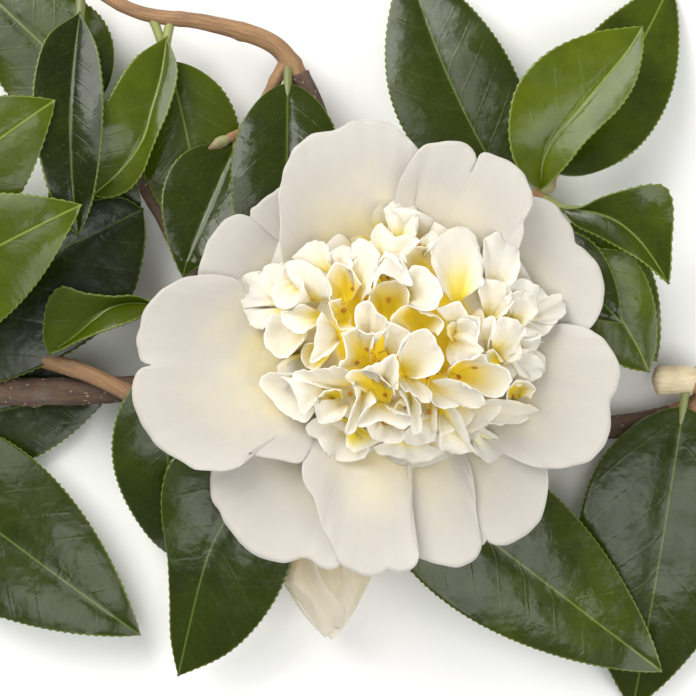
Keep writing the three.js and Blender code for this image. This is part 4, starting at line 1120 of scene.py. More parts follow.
def bark_relief(random, strength):
    """Swellings at old leaf scars, ridges lengthwise and gentle lumps, for a limb's radius."""
    lumps, ridges = waves(random, 5, 1.0, 3.0), waves(random, 6, 2.0, 6.0)
    pitch, start = random.uniform(11, 15), random.uniform(0, 10)

    def relief(share, turn, length):
        travelled = share * length
        node = ((travelled + start) % pitch) - pitch / 2
        heading = np.floor((travelled + start) / pitch) * GOLDEN_ANGLE
        scar = 0.16 * np.exp(-(node / 0.9) ** 2) * (0.35 + 0.65 * np.cos((turn - heading) / 2) ** 4)
        rough = lined = 0.0
        for round_it in (np.cos(turn) + 0 * share, np.sin(turn) + 0 * share):
            rough = rough + 0.07 * lumps(round_it * 1.2, travelled * 0.35)
            lined = lined + 0.05 * ridges(round_it * 2.4, travelled * 0.12)
        return strength * (scar + rough + lined)

    return relief


def add_tube(skins, route, radii, random, sides=26, spacing=0.55, strength=1.0, dome=(0.0, 0.0), tint=0.0):
    """Adds a limb or twig to its skins, with the relief of its bark."""
    rings, along = tube(route, radii, sides, spacing, bark_relief(random, strength), dome)
    turn = turns_of(sides)[None, :]
    skins.add(rings, along=along, round_x=np.cos(turn), round_y=np.sin(turn), tint=tint)


def add_petal(skins, place, grid, thick, width, seed, yellow, row_power=1.0):
    """Adds one petal to its skins, with its coordinates as values for the material."""
    rings, u, v = petal_skin(place, grid, thick, row_power)
    skins.add(rings, share=both_sides(u), across=both_sides(v), width=width, seed=seed, yellow=yellow)


def add_scale(skins, place):
    """Adds one sepal or bud scale to its skins."""
    rings, u, _ = petal_skin(place, SCALE_GRID, SCALE_THICK)
    skins.add(rings, share=both_sides(u))


class Growth:
    """A node tree, built a node at a time, that ends in one realized and painted mesh."""

    def __init__(self, name, **inputs):
        self.tree = bpy.data.node_groups.new(name, "GeometryNodeTree")
        self.tree.interface.new_socket("Geometry", in_out="OUTPUT", socket_type="NodeSocketGeometry")
        self.tree.interface.new_socket("Geometry", in_out="INPUT", socket_type="NodeSocketGeometry")
        self.names = {}
        for label, kind in inputs.items():
            made = self.tree.interface.new_socket(label.replace("_", " "), in_out="INPUT",
                                                  socket_type="NodeSocket" + kind)
            self.names[label] = made.identifier
        self.inputs = self.tree.nodes.new("NodeGroupInput")

    def given(self, label):
        """One of the tree's own inputs."""
        return self.inputs.outputs[label.replace("_", " ")]

    def node(self, kind, outputs=0, settings=None, **sockets):
        """Adds a node, links or sets its named sockets, and returns one of its outputs."""
        made = self.tree.nodes.new(kind)
        for name, value in (settings or {}).items():
            setattr(made, name, value)
        for name, value in sockets.items():
            self.link(value, made.inputs[name.replace("_", " ")])
        return made.outputs[outputs]

    def link(self, value, socket):
        """Links an output to a socket, or sets the socket to a plain value."""
        if isinstance(value, bpy.types.NodeSocket):
            self.tree.links.new(value, socket)
        else:
            socket.default_value = value

    def math(self, operation, *values):
        """One sum on up to three numbers."""
        made = self.tree.nodes.new("ShaderNodeMath")
        made.operation = operation
        for value, socket in zip(values, made.inputs):
            self.link(value, socket)
        return made.outputs[0]

    def random(self, low, high, seed, kind="FLOAT"):
        """A seeded random number or vector for each point."""
        made = self.tree.nodes.new("FunctionNodeRandomValue")
        made.data_type = kind
        sockets = [s for s in made.inputs if s.enabled and s.name in ("Min", "Max")]
        self.link(low, sockets[0])
        self.link(high, sockets[1])
        self.link(seed, next(s for s in made.inputs if s.name == "Seed"))
        return next(s for s in made.outputs if s.enabled)

    def store(self, geometry, name, value):
        """Keeps a number under a name on every point."""
        made = self.tree.nodes.new("GeometryNodeStoreNamedAttribute")
        made.data_type = "FLOAT"
        made.domain = "POINT"
        made.inputs["Name"].default_value = name
        self.link(geometry, made.inputs["Geometry"])
        self.link(value, next(s for s in made.inputs if s.enabled and s.name == "Value"))
        return made.outputs[0]

    def join(self, *geometries):
        """Several meshes as one."""
        made = self.tree.nodes.new("GeometryNodeJoinGeometry")
        for geometry in reversed(geometries):
            self.tree.links.new(geometry, made.inputs[0])
        return made.outputs[0]

    def finish(self, geometry):
        """Realizes the instances, paints them and hands them out."""
        real = self.node("GeometryNodeRealizeInstances", Geometry=geometry)
        painted = self.node("GeometryNodeSetMaterial", Geometry=real, Material=self.given("Material"))
        self.tree.links.new(painted, self.tree.nodes.new("NodeGroupOutput").inputs[0])
        return self

    def grow(self, base, **values):
        """Runs the tree on an object and returns the plain mesh that comes out."""
        modifier = base.modifiers.new(self.tree.name, "NODES")
        modifier.node_group = self.tree
        for label, value in values.items():
            modifier[self.names[label]] = value
        base.update_tag()
        depsgraph = bpy.context.evaluated_depsgraph_get()
        mesh = bpy.data.meshes.new_from_object(base.evaluated_get(depsgraph), depsgraph=depsgraph)
        base.modifiers.remove(modifier)
        return mesh


def holder_of(name, points, faces=()):
    """A bare object at the origin whose mesh has these points, in metres."""
    mesh = bpy.data.meshes.new(name)
    mesh.from_pydata([tuple(p) for p in points], [], list(faces))
    made = bpy.data.objects.new(name, mesh)
    bpy.context.scene.collection.objects.link(made)
    return made


def discard(*objects):
    """Takes helper objects out of the file once their mesh has been used."""
    for one in objects:
        mesh = one.data
        bpy.data.objects.remove(one)
        if mesh.users == 0:
            bpy.data.meshes.remove(mesh)


def shown(name, mesh):
    """An object at the origin for a finished mesh, shaded smooth."""
    mesh.polygons.foreach_set("use_smooth", np.ones(len(mesh.polygons), dtype=bool))
    made = bpy.data.objects.new(name, mesh)
    bpy.context.scene.collection.objects.link(made)
    return made


def spiral_tree():
    """Copies of a petaloid along a golden-angle spiral over the mound, leaning out toward its rim."""
    grow = Growth("petaloid_spiral", Petaloid="Object", Count="Int", Inner="Float", Outer="Float",
                  Peak="Float", Reach="Float", Sideways="Float", Seed="Int", Material="Material")
    count, index = grow.given("Count"), grow.node("GeometryNodeInputIndex")
    share = grow.math("POWER", grow.math("DIVIDE", index, count), 0.62)
    band = grow.math("SUBTRACT", grow.given("Outer"), grow.given("Inner"))
    away = grow.math("MULTIPLY_ADD", share, band, grow.given("Inner"))
    turn = grow.math("MULTIPLY", index, GOLDEN_ANGLE)
    x = grow.math("MULTIPLY", grow.math("MULTIPLY", away, grow.math("COSINE", turn)),
                  grow.given("Sideways"))
    y = grow.math("MULTIPLY", away, grow.math("SINE", turn))
    flat = grow.math("POWER", grow.math("DIVIDE", away, grow.given("Reach")), 2.0)
    z = grow.math("MULTIPLY", grow.given("Peak"), grow.math("SUBTRACT", 1.0, flat))
    place = grow.node("ShaderNodeCombineXYZ", X=x, Y=y, Z=z)
    points = grow.node("GeometryNodePoints", Count=count, Position=place, Radius=0.001)
    lean = grow.math("ADD", grow.math("MULTIPLY_ADD", share, 1.15, 0.15),
                     grow.random(-0.25, 0.25, grow.given("Seed")))
    facing = grow.node("ShaderNodeCombineXYZ", X=grow.random(-0.3, 0.3, 3), Y=lean,
                       Z=grow.math("ADD", turn, grow.random(-0.5, 0.5, 5)))
    euler = grow.node("FunctionNodeEulerToRotation", Euler=facing)
    petaloid = grow.node("GeometryNodeObjectInfo", 4, {"transform_space": "ORIGINAL"},
                         Object=grow.given("Petaloid"))
    copies = grow.node("GeometryNodeInstanceOnPoints", Points=points, Instance=petaloid, Rotation=euler,
                       Scale=grow.random((0.8, 0.8, 0.8), (1.2, 1.2, 1.2), 8, "FLOAT_VECTOR"))
    return grow.finish(copies)


def stamen_tree():
    """A tuft of bent filaments with their anthers on every point of the input."""
    grow = Growth("stamen_tufts", Count="Int", Spread="Float", Length="Float", Seed="Int",
                  Material="Material")
    length = grow.given("Length")
    line = grow.node("GeometryNodeCurvePrimitiveLine", End=grow.node("ShaderNodeCombineXYZ", Z=length))
    line = grow.node("GeometryNodeResampleCurve", Curve=line, Count=6)
    along = grow.node("GeometryNodeSplineParameter")
    bend = grow.math("MULTIPLY", grow.math("MULTIPLY", grow.math("POWER", along, 2.0), 0.22), length)
    line = grow.node("GeometryNodeSetPosition", Geometry=line,
                     Offset=grow.node("ShaderNodeCombineXYZ", X=bend))
    ring = grow.node("GeometryNodeCurvePrimitiveCircle", Resolution=5, Radius=0.00016)
    thread = grow.node("GeometryNodeCurveToMesh", Curve=line, Profile_Curve=ring)
    thread = grow.store(thread, "anther", 0.0)
    tip = grow.node("ShaderNodeCombineXYZ", X=grow.math("MULTIPLY", length, 0.25), Z=length)
    ball = grow.node("GeometryNodeMeshUVSphere", Segments=7, Rings=5, Radius=0.0005)
    ball = grow.node("GeometryNodeTransform", Geometry=ball, Translation=tip, Rotation=(0.0, 0.7, 0.0),
                     Scale=(0.62, 0.8, 1.25))
    stamen = grow.join(thread, grow.store(ball, "anther", 1.0))
    index = grow.node("GeometryNodeInputIndex")
    share = grow.math("POWER", grow.math("DIVIDE", index, grow.given("Count")), 0.5)
    turn = grow.math("MULTIPLY", index, GOLDEN_ANGLE)
    away = grow.math("MULTIPLY", share, grow.given("Spread"))
    place = grow.node("ShaderNodeCombineXYZ", X=grow.math("MULTIPLY", away, grow.math("COSINE", turn)),
                      Y=grow.math("MULTIPLY", away, grow.math("SINE", turn)))
    points = grow.node("GeometryNodePoints", Count=grow.given("Count"), Position=place, Radius=0.001)
    tilt = grow.math("ADD", grow.math("MULTIPLY", share, 0.5), grow.random(-0.15, 0.2, grow.given("Seed")))
    facing = grow.node("ShaderNodeCombineXYZ", Y=tilt, Z=turn)
    euler = grow.node("FunctionNodeEulerToRotation", Euler=facing)
    tuft = grow.node("GeometryNodeInstanceOnPoints", Points=points, Instance=stamen, Rotation=euler,
                     Scale=grow.random((0.75, 0.75, 0.75), (1.15, 1.15, 1.15), 4, "FLOAT_VECTOR"))
    spin = grow.node("ShaderNodeCombineXYZ", X=grow.random(-0.3, 0.3, 11), Y=grow.random(-0.3, 0.3, 12),
                     Z=grow.random(0.0, 6.28, 13))
    tufts = grow.node("GeometryNodeInstanceOnPoints", Points=grow.given("Geometry"), Instance=tuft,
                      Rotation=grow.node("FunctionNodeEulerToRotation", Euler=spin))
    return grow.finish(tufts)


def lenticel_tree():
    """Small corky lens-shaped pores scattered over a limb's bark, lying across it."""
    grow = Growth("bark_pores", Density="Float", Size="Float", Seed="Int", Material="Material")
    scatter = grow.tree.nodes.new("GeometryNodeDistributePointsOnFaces")
    grow.link(grow.given("Geometry"), scatter.inputs["Mesh"])
    grow.link(grow.given("Density"), scatter.inputs["Density"])
    grow.link(grow.given("Seed"), scatter.inputs["Seed"])
    pore = grow.node("GeometryNodeMeshUVSphere", Segments=8, Rings=4, Radius=grow.given("Size"))
    pore = grow.node("GeometryNodeTransform", Geometry=pore, Scale=(1.5, 0.8, 0.45))
    copies = grow.node("GeometryNodeInstanceOnPoints", Points=scatter.outputs["Points"], Instance=pore,
                       Rotation=scatter.outputs["Rotation"],
                       Scale=grow.random((0.5, 0.5, 0.5), (1.2, 1.2, 1.2), 6, "FLOAT_VECTOR"))
    return grow.finish(copies)


def spread_bake_map(mesh, copies):
    """Gives each of the equal copies in a mesh its own cell of the bake map."""
    bake = mesh.uv_layers["OFBake"]
    values = np.zeros(len(mesh.loops) * 2, dtype=np.float32)
    bake.data.foreach_get("uv", values)
    values = values.reshape(copies, -1, 2)
    side = math.ceil(math.sqrt(copies))
    number = np.arange(copies)
    corners = np.stack([number % side, number // side], axis=1)[:, None, :]
    values = (corners + BAKE_MARGIN + (1 - 2 * BAKE_MARGIN) * values) / side
    bake.data.foreach_set("uv", values.reshape(-1).astype(np.float32))


def colour_property(name, description, default):
    """A colour that a user can change."""
    return FloatVectorProperty(name=name, description=description, default=default, size=3, min=0.0,
                               max=1.0, subtype="COLOR")


class BranchSizes(bpy.types.PropertyGroup):
    """Sizes and colours of the limbs and their bark."""

    bark: colour_property("Bark", "Colour of the woody bark", (0.16, 0.095, 0.06))
    young_bark: colour_property("Young bark", "Colour of the bark on young shoots", (0.42, 0.25, 0.12))
    relief: FloatProperty(name="Bark relief", description="How far the bark's swellings stand out",
                          default=1.0)
    spacing: FloatProperty(name="Ring spacing", default=0.55,
                           description="Distance between a limb's rings, in millimetres")
    pore_density: FloatProperty(name="Pores", description="Bark pores to a square metre", default=110000.0)
    pore_size: FloatProperty(name="Pore size", description="Half the width of a bark pore, in metres",
                             default=0.00026, unit="LENGTH")
    seed: IntProperty(name="Seed", description="Start of the random numbers for the bark", default=11)


class LeafSizes(bpy.types.PropertyGroup):
    """Sizes of the leaves' teeth and the colour beneath the leaves."""

    underside: colour_property("Underside", "Colour of the leaves' undersides", (0.13, 0.2, 0.06))
    tooth_pitch: FloatProperty(name="Tooth pitch", default=1.2,
                               description="Distance from tooth to tooth, in millimetres")
    tooth_depth: FloatProperty(name="Tooth depth", description="How far a tooth stands out, in millimetres",
                               default=0.3)
    seed: IntProperty(name="Seed", description="Start of the random numbers for the leaves", default=5)


class BloomSizes(bpy.types.PropertyGroup):
    """Sizes and colours of the bloom's petals."""

    white: colour_property("Guard petals", "Colour of the guard petals", (0.515, 0.482, 0.435))
    cream: colour_property("Petaloids", "Colour of the petaloids", (0.93, 0.885, 0.755))
    gold: colour_property("Hollows", "Colour deep between the petaloids", (0.98, 0.73, 0.03))
    ruffle: FloatProperty(name="Ruffle", description="How deeply the guard petals' rims are ruffled",
                          default=1.0)
    guard_thick: FloatVectorProperty(name="Guard petal thickness", size=2, default=(0.5, 0.17),
                                     description="Thickness at the foot and at the rim, in millimetres")
    lip_thick: FloatVectorProperty(name="Petaloid thickness", size=2, default=(0.36, 0.13),
                                   description="Thickness at the foot and at the rim, in millimetres")
    spiral_count: IntProperty(name="Spiral petaloids", description="How many petaloids fill the mound",
                              default=60)
    stamens: IntProperty(name="Stamens in a tuft", description="How many stamens stand in each hollow",
                         default=7)
    stamen_spread: FloatProperty(name="Tuft width", description="Half the width of a tuft of stamens",
                                 default=0.0013, unit="LENGTH")
    stamen_length: FloatProperty(name="Stamen length", description="Length of a stamen",
                                 default=0.0045, unit="LENGTH")
    seed: IntProperty(name="Seed", description="Start of the random numbers for the petals", default=23)


class BudSizes(bpy.types.PropertyGroup):
    """Numbers and colour of the half-open bud's petals and scales."""

    cream: colour_property("Bud petals", "Colour of the bud's petals", (0.84, 0.76, 0.58))
    petals: IntProperty(name="Bud petals", description="How many petals wrap the bud", default=8, min=2)
    scales: IntProperty(name="Bud scales", description="How many scales hold the bud", default=7, min=2)
    seed: IntProperty(name="Seed", description="Start of the random numbers for the bud", default=41)


class GrowLimbs(bpy.types.Operator):
    """Grows the branch and its boughs in bark, with the cut end and the twigs"""

    bl_idname = "camellia.grow_limbs"
    bl_label = "Limbs and Twigs"

    def execute(self, context):
        sizes = context.scene.camellia_branch
        random = np.random.default_rng(sizes.seed)
        bark = stem_material("woody_bark", tuple(sizes.bark), (0.075, 0.05, 0.036), (0.2, 0.17, 0.14))
        young = stem_material("young_bark", tuple(sizes.young_bark), (0.27, 0.15, 0.08), (0.2, 0.14, 0.1))
        limbs = []
        for name, limb in LIMBS.items():
            skins = Skins(*STEM_VALUES)
            add_tube(skins, limb["route"], limb["radii"], random, spacing=sizes.spacing,
                     strength=sizes.relief)
            is_young = name == "lower_bough"
            piece = skins.make(name + "_bark", young if is_young else bark)
            limbs.append(settle(piece, "young_bark" if is_young else "bark", name))
        grow_pores(sizes, limbs)
        twigs = Skins(*STEM_VALUES)
        for shoot in SHOOTS.values():
            for twig in shoot["twigs"]:
                add_tube(twigs, twig["route"], twig["radii"], random, sides=20, strength=sizes.relief,
                         dome=(0.0, 1.2))
        settle(twigs.make("twigs", young), "young_bark", *SHOOTS)
        stub = Skins(*STEM_VALUES)
        add_tube(stub, PRUNED_STUB, (2.35, 2.75), random, sides=24, strength=0.6, dome=(0.0, 1.4))
        pale = stem_material("pruned_wood", (0.74, 0.64, 0.44), (0.6, 0.48, 0.3), (0.4, 0.3, 0.18))
        settle(stub.make("pruned_stub", pale), "young_bark", "lower_right_leaves")
        grow_cut_end(random)
        return {"FINISHED"}


def grow_cut_end(random):
    """The sawn face of the branch, with its rings."""
    face = Skins("along")
    profile = ((2.72, 0.25), (2.74, 0.0), (2.6, -0.09), (2.2, -0.05), (1.4, -0.07), (0.7, -0.05),
               (0.1, -0.06))
    rings = [[CUT_END + (out, reach * math.cos(a), reach * math.sin(a)) for a in turns_of(48)]
             for reach, out in reversed(profile)]
    face.add(np.array(rings), along=np.array([[reach] for reach, _ in reversed(profile)]))
    settle(face.make("cut_face", wood_material()), "bark", "main_branch")


def grow_pores(sizes, limbs):
    """The corky pores on all the limbs, joined into one piece."""
    tree = lenticel_tree()
    material = plain_material("bark_pore", (0.33, 0.24, 0.16), 0.85)
    points, faces, start = [], [], 0
    for number, limb in enumerate(limbs):
        mesh = tree.grow(limb, Density=sizes.pore_density, Size=sizes.pore_size, Seed=sizes.seed + number,
                         Material=material)
        points += [tuple(vertex.co) for vertex in mesh.vertices]
        faces += [[start + i for i in polygon.vertices] for polygon in mesh.polygons]
        start += len(mesh.vertices)
        bpy.data.meshes.remove(mesh)
    piece = holder_of("bark_pores", points, faces)
    piece.data.polygons.foreach_set("use_smooth", np.ones(len(faces), dtype=bool))
    piece.data.materials.append(material)
    settle(piece, "bark", *LIMBS)


class GrowLeaves(bpy.types.Operator):
    """Grows every shoot's toothed leaves, one piece for each leafy mass, and their petioles"""

    bl_idname = "camellia.grow_leaves"
    bl_label = "Leaves"

    def execute(self, context):
        sizes = context.scene.camellia_leaves
        random = np.random.default_rng(sizes.seed)
        green = leaf_material(tuple(sizes.underside))
        petioles = Skins("tint")
        for name, shoot in SHOOTS.items():
            blades = Skins(*BLADE_VALUES)
            for leaf in shoot["leaves"]:
                add = add_drawn_leaf if "rib" in leaf else add_leaf
                add(blades, petioles, leaf, sizes, random)
            settle(blades.make(name + "_blades", green), "leaf", name)
        shade = Shade("petiole")
        colour = shade.colours(shade.attribute("tint"), (0.0, (0.16, 0.18, 0.06)),
                               (0.5, (0.28, 0.31, 0.1)), (1.0, (0.42, 0.46, 0.15)))
        stalk = shade.finish(Base_Color=colour, Roughness=0.45)
        settle(petioles.make("petioles", stalk), "leaf", *SHOOTS)
        buds, budded = Skins("share"), [name for name in SHOOTS if name != "lower_right_leaves"]
        for name in budded:
            for twig in SHOOTS[name]["twigs"]:
                add_twig_bud(buds, twig["route"], twig["radii"][1])
        settle(buds.make("twig_buds", sepal_material()), "calyx", *budded)
        return {"FINISHED"}


def add_twig_bud(buds, route, radius):
    """A pointed resting bud at a twig's end, in line with it."""
    end, before = np.array(route[-1], float), np.array(route[-2], float)
    share, turn = np.linspace(0, 1, 12)[:, None], turns_of(14)
    along = np.repeat(unit(end - before)[None], 12, axis=0)
    girth = radius * np.interp(share, [0, 0.2, 0.45, 0.8, 1], [0.85, 1.2, 1.25, 0.6, 0.05])
    girth = girth * (1 + 0.07 * np.sin(2 * turn + 5 * share))
    middle = end + along * (4.8 * share - 0.8)
    buds.add(rings_round(middle, along, girth, turn), share=0.45 + 0.45 * share)


class GrowBloom(bpy.types.Operator):
    """Grows the bloom: guard petals, the petaloids that fill it, and the calyx"""

    bl_idname = "camellia.grow_bloom"
    bl_label = "Bloom"

    def execute(self, context):
        sizes = context.scene.camellia_bloom
        random = np.random.default_rng(sizes.seed)
        # The guard petals' cream toward the foot is lighter than their body, painted light against the
        # shade of the mound; their lighter rim colour is partly a painted highlight.
        white = petal_material("guard_petal", tuple(sizes.white), (0.74, 0.66, 0.43), (0.8, 0.62, 0.2),
                               (0.98, 0.975, 0.965), (0.68, 0.64, 0.57), 0.3)
        guards = Skins(*PETAL_VALUES)
        for number, petal in enumerate(GUARD_PETALS):
            add_petal(guards, guard_place(petal, random, sizes.ruffle), GUARD_GRID, sizes.guard_thick,
                      petal["width"] / 2, number * 3.7, 0.42, 0.8)
        settle(guards.make("guard_petals", white), "petal_white", "bloom_guard_petals")
        # The petaloids' rim colour is whiter than their body: partly the paler edge, partly a painted
        # highlight.
        cream = petal_material("petaloid", tuple(sizes.cream), (0.97, 0.86, 0.42), tuple(sizes.gold),
                               (0.98, 0.965, 0.92), (0.97, 0.95, 0.88), 0.6)
        lips = Skins(*PETAL_VALUES)
        for number, lip in enumerate(LIPS):
            add_petal(lips, lip_place(lip, random), LIP_GRID, sizes.lip_thick, 5.0, number * 2.9, lip[4])
        add_core(lips)
        settle(lips.make("petaloids", cream), "petal_cream", "bloom_centre")
        grow_spiral(sizes, cream, random)
        grow_stamens(sizes)
        add_calyx()
        return {"FINISHED"}


def scale_place(foot, axis, turn, inner, outer, reach, width, tip_lean):
    """The surface of a sepal or bud scale that hugs a rounded body turned about an axis."""
    axis = unit(np.asarray(axis, float))
    first = unit(np.cross(axis, [0.3, 0.2, 1.0]))
    second = np.cross(axis, first)

    def place(u, v):
        angle = turn + v * (width / 2) / outer * np.sin(math.pi * (0.25 + 0.72 * u)) ** 0.8
        drop = 1 - 0.3 * np.abs(v) ** 2.2 * u
        radius = inner + (outer - inner) * np.sin(u * math.pi / 2) ** 1.1 - tip_lean * smooth(0.7, 1.0, u)
        ring = first * np.cos(angle)[..., None] + second * np.sin(angle)[..., None]
        return np.asarray(foot, float) + axis * (reach * u * drop)[..., None] + ring * radius[..., None]

    return place


def grow_spiral(sizes, material, random):
    """The petaloids of the spiral, which close the mound beneath those of the photograph."""
    pattern = Skins(*PETAL_VALUES)
    add_petal(pattern, spiral_petaloid(random), SPIRAL_GRID, sizes.lip_thick, 5.5, 6.1, 0.6)
    pattern = pattern.make("petaloid_pattern", material)
    pattern.data.transform(Matrix.Translation(-Vector(SHIFT / 1000.0)))
    base = holder_of("spiral_base", [(0, 0, 0)])
    mesh = spiral_tree().grow(base, Petaloid=pattern, Count=sizes.spiral_count, Seed=sizes.seed,
                              Material=material, **SPIRAL)
    mesh.transform(Matrix.Translation(to_frame((*CENTRE_AXIS, CENTRE_FLOOR - 1.0))))
    spread_bake_map(mesh, sizes.spiral_count)
    settle(shown("spiral_petaloids", mesh), "petal_cream", "bloom_centre")
    discard(base, pattern)


def spiral_petaloid(random):
    """The surface of a petaloid that stands up from the origin and curls outward, along X."""
    rim_wave, soft = waves(random, 4, 1.5, 4.5), waves(random, 3, 1.0, 3.0)

    def place(u, v):
        reach = 8.6 * u * (1 - 0.26 * np.abs(v) ** 2.4 * u + 0.03 * rim_wave(v * 2.0) * u)
        half = 5.2 * (0.3 + 0.7 * np.sin(math.pi * u / 1.7) ** 1.1)
        lifted = 0.26 * half * v ** 2 + 0.5 * rim_wave(v * 1.6, u) * u ** 2 + 0.5 * soft(v, u * 2) * u
        lean = 0.9 * u ** 1.5
        x = reach * np.sin(lean) * 0.7 + lifted - 0.9 * u ** 3
        z = reach * np.cos(lean * 0.6)
        return np.stack([x, half * v * (1 - 0.1 * v ** 2), z], axis=-1)

    return place


def grow_stamens(sizes):
    """Tufts of stamens in the hollows between the petaloids."""
    shade = Shade("stamens")
    anther = shade.attribute("anther")
    grain = shade.noise(2600.0, detail=2.0)
    dust = shade.mix(shade.between(grain, 0.35, 0.65), (0.62, 0.3, 0.03), (0.36, 0.15, 0.02))
    material = shade.finish(Base_Color=shade.mix(anther, (0.85, 0.62, 0.1), dust), Roughness=0.75)
    seats = [to_frame(on_photograph(px, py, CENTRE_FLOOR + height)) for px, py, height in STAMEN_SEATS]
    base = holder_of("stamen_seats", seats)
    mesh = stamen_tree().grow(base, Count=sizes.stamens, Spread=sizes.stamen_spread,
                              Length=sizes.stamen_length, Seed=sizes.seed, Material=material)
    settle(shown("stamens", mesh), "petal_cream", "bloom_centre")
    discard(base)


def add_core(lips):
    """The bowl and mound that the petaloids stand on, which show as a golden hollow between them."""
    middle_x, middle_y = MOUND_MIDDLE
    below = [(CORE_REACH * share + 0.5, 4.2 * share ** 2 - 1.0) for share in np.linspace(0, 1, 8)]
    edges = [CORE_REACH * math.cos(share * math.pi / 2) ** 1.2 + 0.5 for share in np.linspace(0.14, 1, 14)]
    above = [(away, max(-0.5, mound(middle_x + away, middle_y) * 0.8 - 5.2)) for away in edges]
    rings = [[on_photograph(middle_x + away * math.cos(a), middle_y - 0.87 * away * math.sin(a),
                            CENTRE_FLOOR + height) for a in turns_of(48)]
             for away, height in below + above]
    gold = np.array([0.0] * len(below) + [smooth(88, 50, away) for away in edges])[:, None]
    lips.add(np.array(rings), share=0.9 * (1 - gold), width=5.0, seed=1.7, yellow=gold)


def add_calyx():
    """The calyx: three turns of overlapping sepals under the bloom, round a solid cup."""
    sepals = Skins("share")
    for number in range(13):
        level = number / 12
        low = CALYX_FOOT + 0.1 + 1.9 * level
        high = CALYX_TOP + 0.9 - 2.3 * (1 - level)
        outer = CALYX_RADIUS - 0.1 + 0.7 * (1 - level)
        add_scale(sepals, scale_place((*BLOOM_AXIS, low), (0, 0, 1), number * GOLDEN_ANGLE,
                                      2.0 + 1.5 * level, outer, high - low, 9.5, 0.3))
    profile = [(1.9, 14.9), (2.3, CALYX_FOOT), (4.6, 17.2), (6.6, 19.4), (6.7, CALYX_TOP), (5.6, 23.5),
               (4.6, 25.2)]
    rings = [[(BLOOM_AXIS[0] + r * math.cos(a), BLOOM_AXIS[1] + r * math.sin(a), z) for a in turns_of(40)]
             for r, z in profile]
    sepals.add(np.array(rings), share=0.3)
    settle(sepals.make("calyx_sepals", sepal_material()), "calyx", "bloom_calyx")


class GrowBud(bpy.types.Operator):
    """Grows the half-open bud under the bloom: wrapped petals, scales and its stalk"""

    bl_idname = "camellia.grow_bud"
    bl_label = "Half-open Bud"

    def execute(self, context):
        sizes = context.scene.camellia_bud
        random = np.random.default_rng(sizes.seed)
        foot = np.array(BUD["foot"], float)
        axis = np.array(BUD["tip"], float) - foot
        cream = petal_material("bud_petal", tuple(sizes.cream), (0.82, 0.66, 0.38), (0.66, 0.5, 0.22),
                               (0.95, 0.9, 0.84), (0.9, 0.84, 0.7), 0.3)
        petals, last = Skins(*PETAL_VALUES), sizes.petals - 1
        for number in range(sizes.petals):
            inset = 0.55 * (last - number) / last
            place = bud_petal_place(foot, axis, number * GOLDEN_ANGLE + 0.6, inset, 15.5, random)
            add_petal(petals, place, BUD_GRID, BUD_THICK, 7.5, number * 4.1, 0.45)
        settle(petals.make("bud_petals", cream), "bud_petal", "half_open_bud")
        scales, last = Skins("share"), sizes.scales - 1
        for number in range(sizes.scales):
            start = foot + unit(axis) * (0.5 * number / last - 0.4)
            add_scale(scales, scale_place(start, axis, number * GOLDEN_ANGLE, 1.9, 6.4 + 0.1 * number,
                                          8.5 + 0.6 * number, 8.5, 0.1))
        settle(scales.make("bud_scales", sepal_material()), "calyx", "half_open_bud")
        stalk = Skins(*STEM_VALUES)
        add_tube(stalk, BUD_STALK["route"], BUD_STALK["radii"], random, sides=20, tint=0.5)
        material = stem_material("green_stalk", (0.2, 0.2, 0.07), (0.14, 0.12, 0.05), (0.1, 0.08, 0.04))
        settle(stalk.make("bud_stalk", material), "calyx", "half_open_bud")
        return {"FINISHED"}


def bud_petal_place(foot, axis, turn, inset, width, random):
    """The surface of a petal wrapped round the bud, from the stations of the bud's radii."""
    along = unit(axis)
    side = unit(np.cross(along, [0.0, 0.0, 1.0]))
    up = np.cross(side, along)
    stations = np.linspace(0, 1, len(BUD["radii"]))
    rim_wave, soft = waves(random, 4, 2.0, 6.0), waves(random, 3, 1.0, 3.0)
    end = random.uniform(0.9, 1.0)

    def place(u, v):
        drop = 1 - 0.2 * np.abs(v) ** 2.4 + 0.03 * rim_wave(v * 2.0)
        w = u * drop * end
        radius = np.interp(w, stations, BUD["radii"]) - inset + 0.25 * soft(v * 1.5, u * 2)
        angle = turn + v * (width / 2) / np.maximum(radius, 2.4) + 0.5 * u
        reach = np.maximum(radius, 0.3) * (1 + 0.04 * np.cos(3 * angle)) + 0.25 * v * u
        return (foot + axis * w[..., None] + side * (reach * np.cos(angle))[..., None]
                + up * (reach * BUD["flat"] * np.sin(angle))[..., None])

    return place


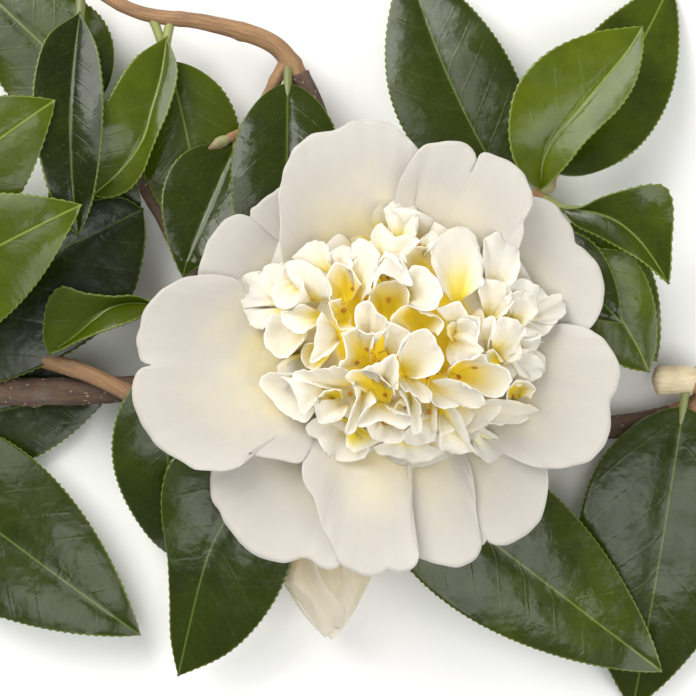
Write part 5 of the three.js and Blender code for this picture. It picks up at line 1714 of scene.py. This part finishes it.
class SetStage(bpy.types.Operator):
    """Sets the pale floor, the soft light and the camera over the bloom"""

    bl_idname = "camellia.set_stage"
    bl_label = "Stage and Camera"

    def execute(self, context):
        scene = context.scene
        centre = to_frame((*PHOTO_CENTRE, 0.0))
        centre[2] = CAD_BOX[0][2]
        corners = [(x * FLOOR_HALF, y * FLOOR_HALF, centre[2] - FLOOR_DROP)
                   for x, y in ((-1, -1), (1, -1), (1, 1), (-1, 1))]
        floor = holder_of("floor", corners, [(0, 1, 2, 3)])
        paint = Shade("floor_paint").finish(Base_Color=(0.93, 0.93, 0.925), Roughness=0.9)
        floor.data.materials.append(paint)
        for name, (place, size, power, colour) in LIGHTS.items():
            add_light(name, centre + place, centre, size, power, colour)
        world = bpy.data.worlds.new("sky")
        world.use_nodes = True
        background = world.node_tree.nodes["Background"]
        background.inputs["Color"].default_value = SKY_COLOUR
        background.inputs["Strength"].default_value = SKY_STRENGTH
        scene.world = world
        scene.view_settings.view_transform = "Standard"
        camera = bpy.data.cameras.new("photograph")
        camera.sensor_width = FILM_WIDTH
        camera.lens = FILM_WIDTH * CAMERA_DISTANCE / (MM_PER_PIXEL * PHOTO_PIXELS)
        camera.clip_start, camera.clip_end = 0.01, 20.0
        holder = bpy.data.objects.new("photograph", camera)
        scene.collection.objects.link(holder)
        holder.location = to_frame((*PHOTO_CENTRE, RIM_HEIGHT + CAMERA_DISTANCE))
        scene.camera = holder
        return {"FINISHED"}


def add_light(name, place, target, size, power, colour):
    """A square soft light at a place, aimed at a target."""
    lamp = bpy.data.lights.new(name, "AREA")
    lamp.size = size
    lamp.energy = power
    lamp.color = colour
    holder = bpy.data.objects.new(name, lamp)
    bpy.context.scene.collection.objects.link(holder)
    holder.location = place
    aim = Vector(target) - Vector(place)
    holder.rotation_euler = aim.to_track_quat("-Z", "Y").to_euler()


class CamelliaPanel(bpy.types.Panel):
    """Lists the operators in the order in which they are used"""

    bl_idname = "VIEW3D_PT_camellia_branch"
    bl_label = "Camellia Branch"
    bl_space_type = "VIEW_3D"
    bl_region_type = "UI"
    bl_category = "Camellia"

    def draw(self, context):
        for step in STEPS:
            self.layout.operator(step.bl_idname)


STEPS = (GrowLimbs, GrowLeaves, GrowBloom, GrowBud, SetStage)
SETTINGS = {"camellia_branch": BranchSizes, "camellia_leaves": LeafSizes, "camellia_bloom": BloomSizes,
            "camellia_bud": BudSizes}
CLASSES = (*SETTINGS.values(), *STEPS, CamelliaPanel)


def register():
    """Registers the classes and hangs their settings on the scene."""
    for one in CLASSES:
        bpy.utils.register_class(one)
    for name, group in SETTINGS.items():
        setattr(bpy.types.Scene, name, PointerProperty(type=group))


def unregister():
    """Takes the settings and the classes away again."""
    for name in SETTINGS:
        delattr(bpy.types.Scene, name)
    for one in reversed(CLASSES):
        bpy.utils.unregister_class(one)


def main():
    """Builds the branch."""
    register()
    bpy.ops.camellia.grow_limbs()
    bpy.ops.camellia.grow_leaves()
    bpy.ops.camellia.grow_bloom()
    bpy.ops.camellia.grow_bud()
    bpy.ops.camellia.set_stage()


if __name__ == "__main__":
    main()
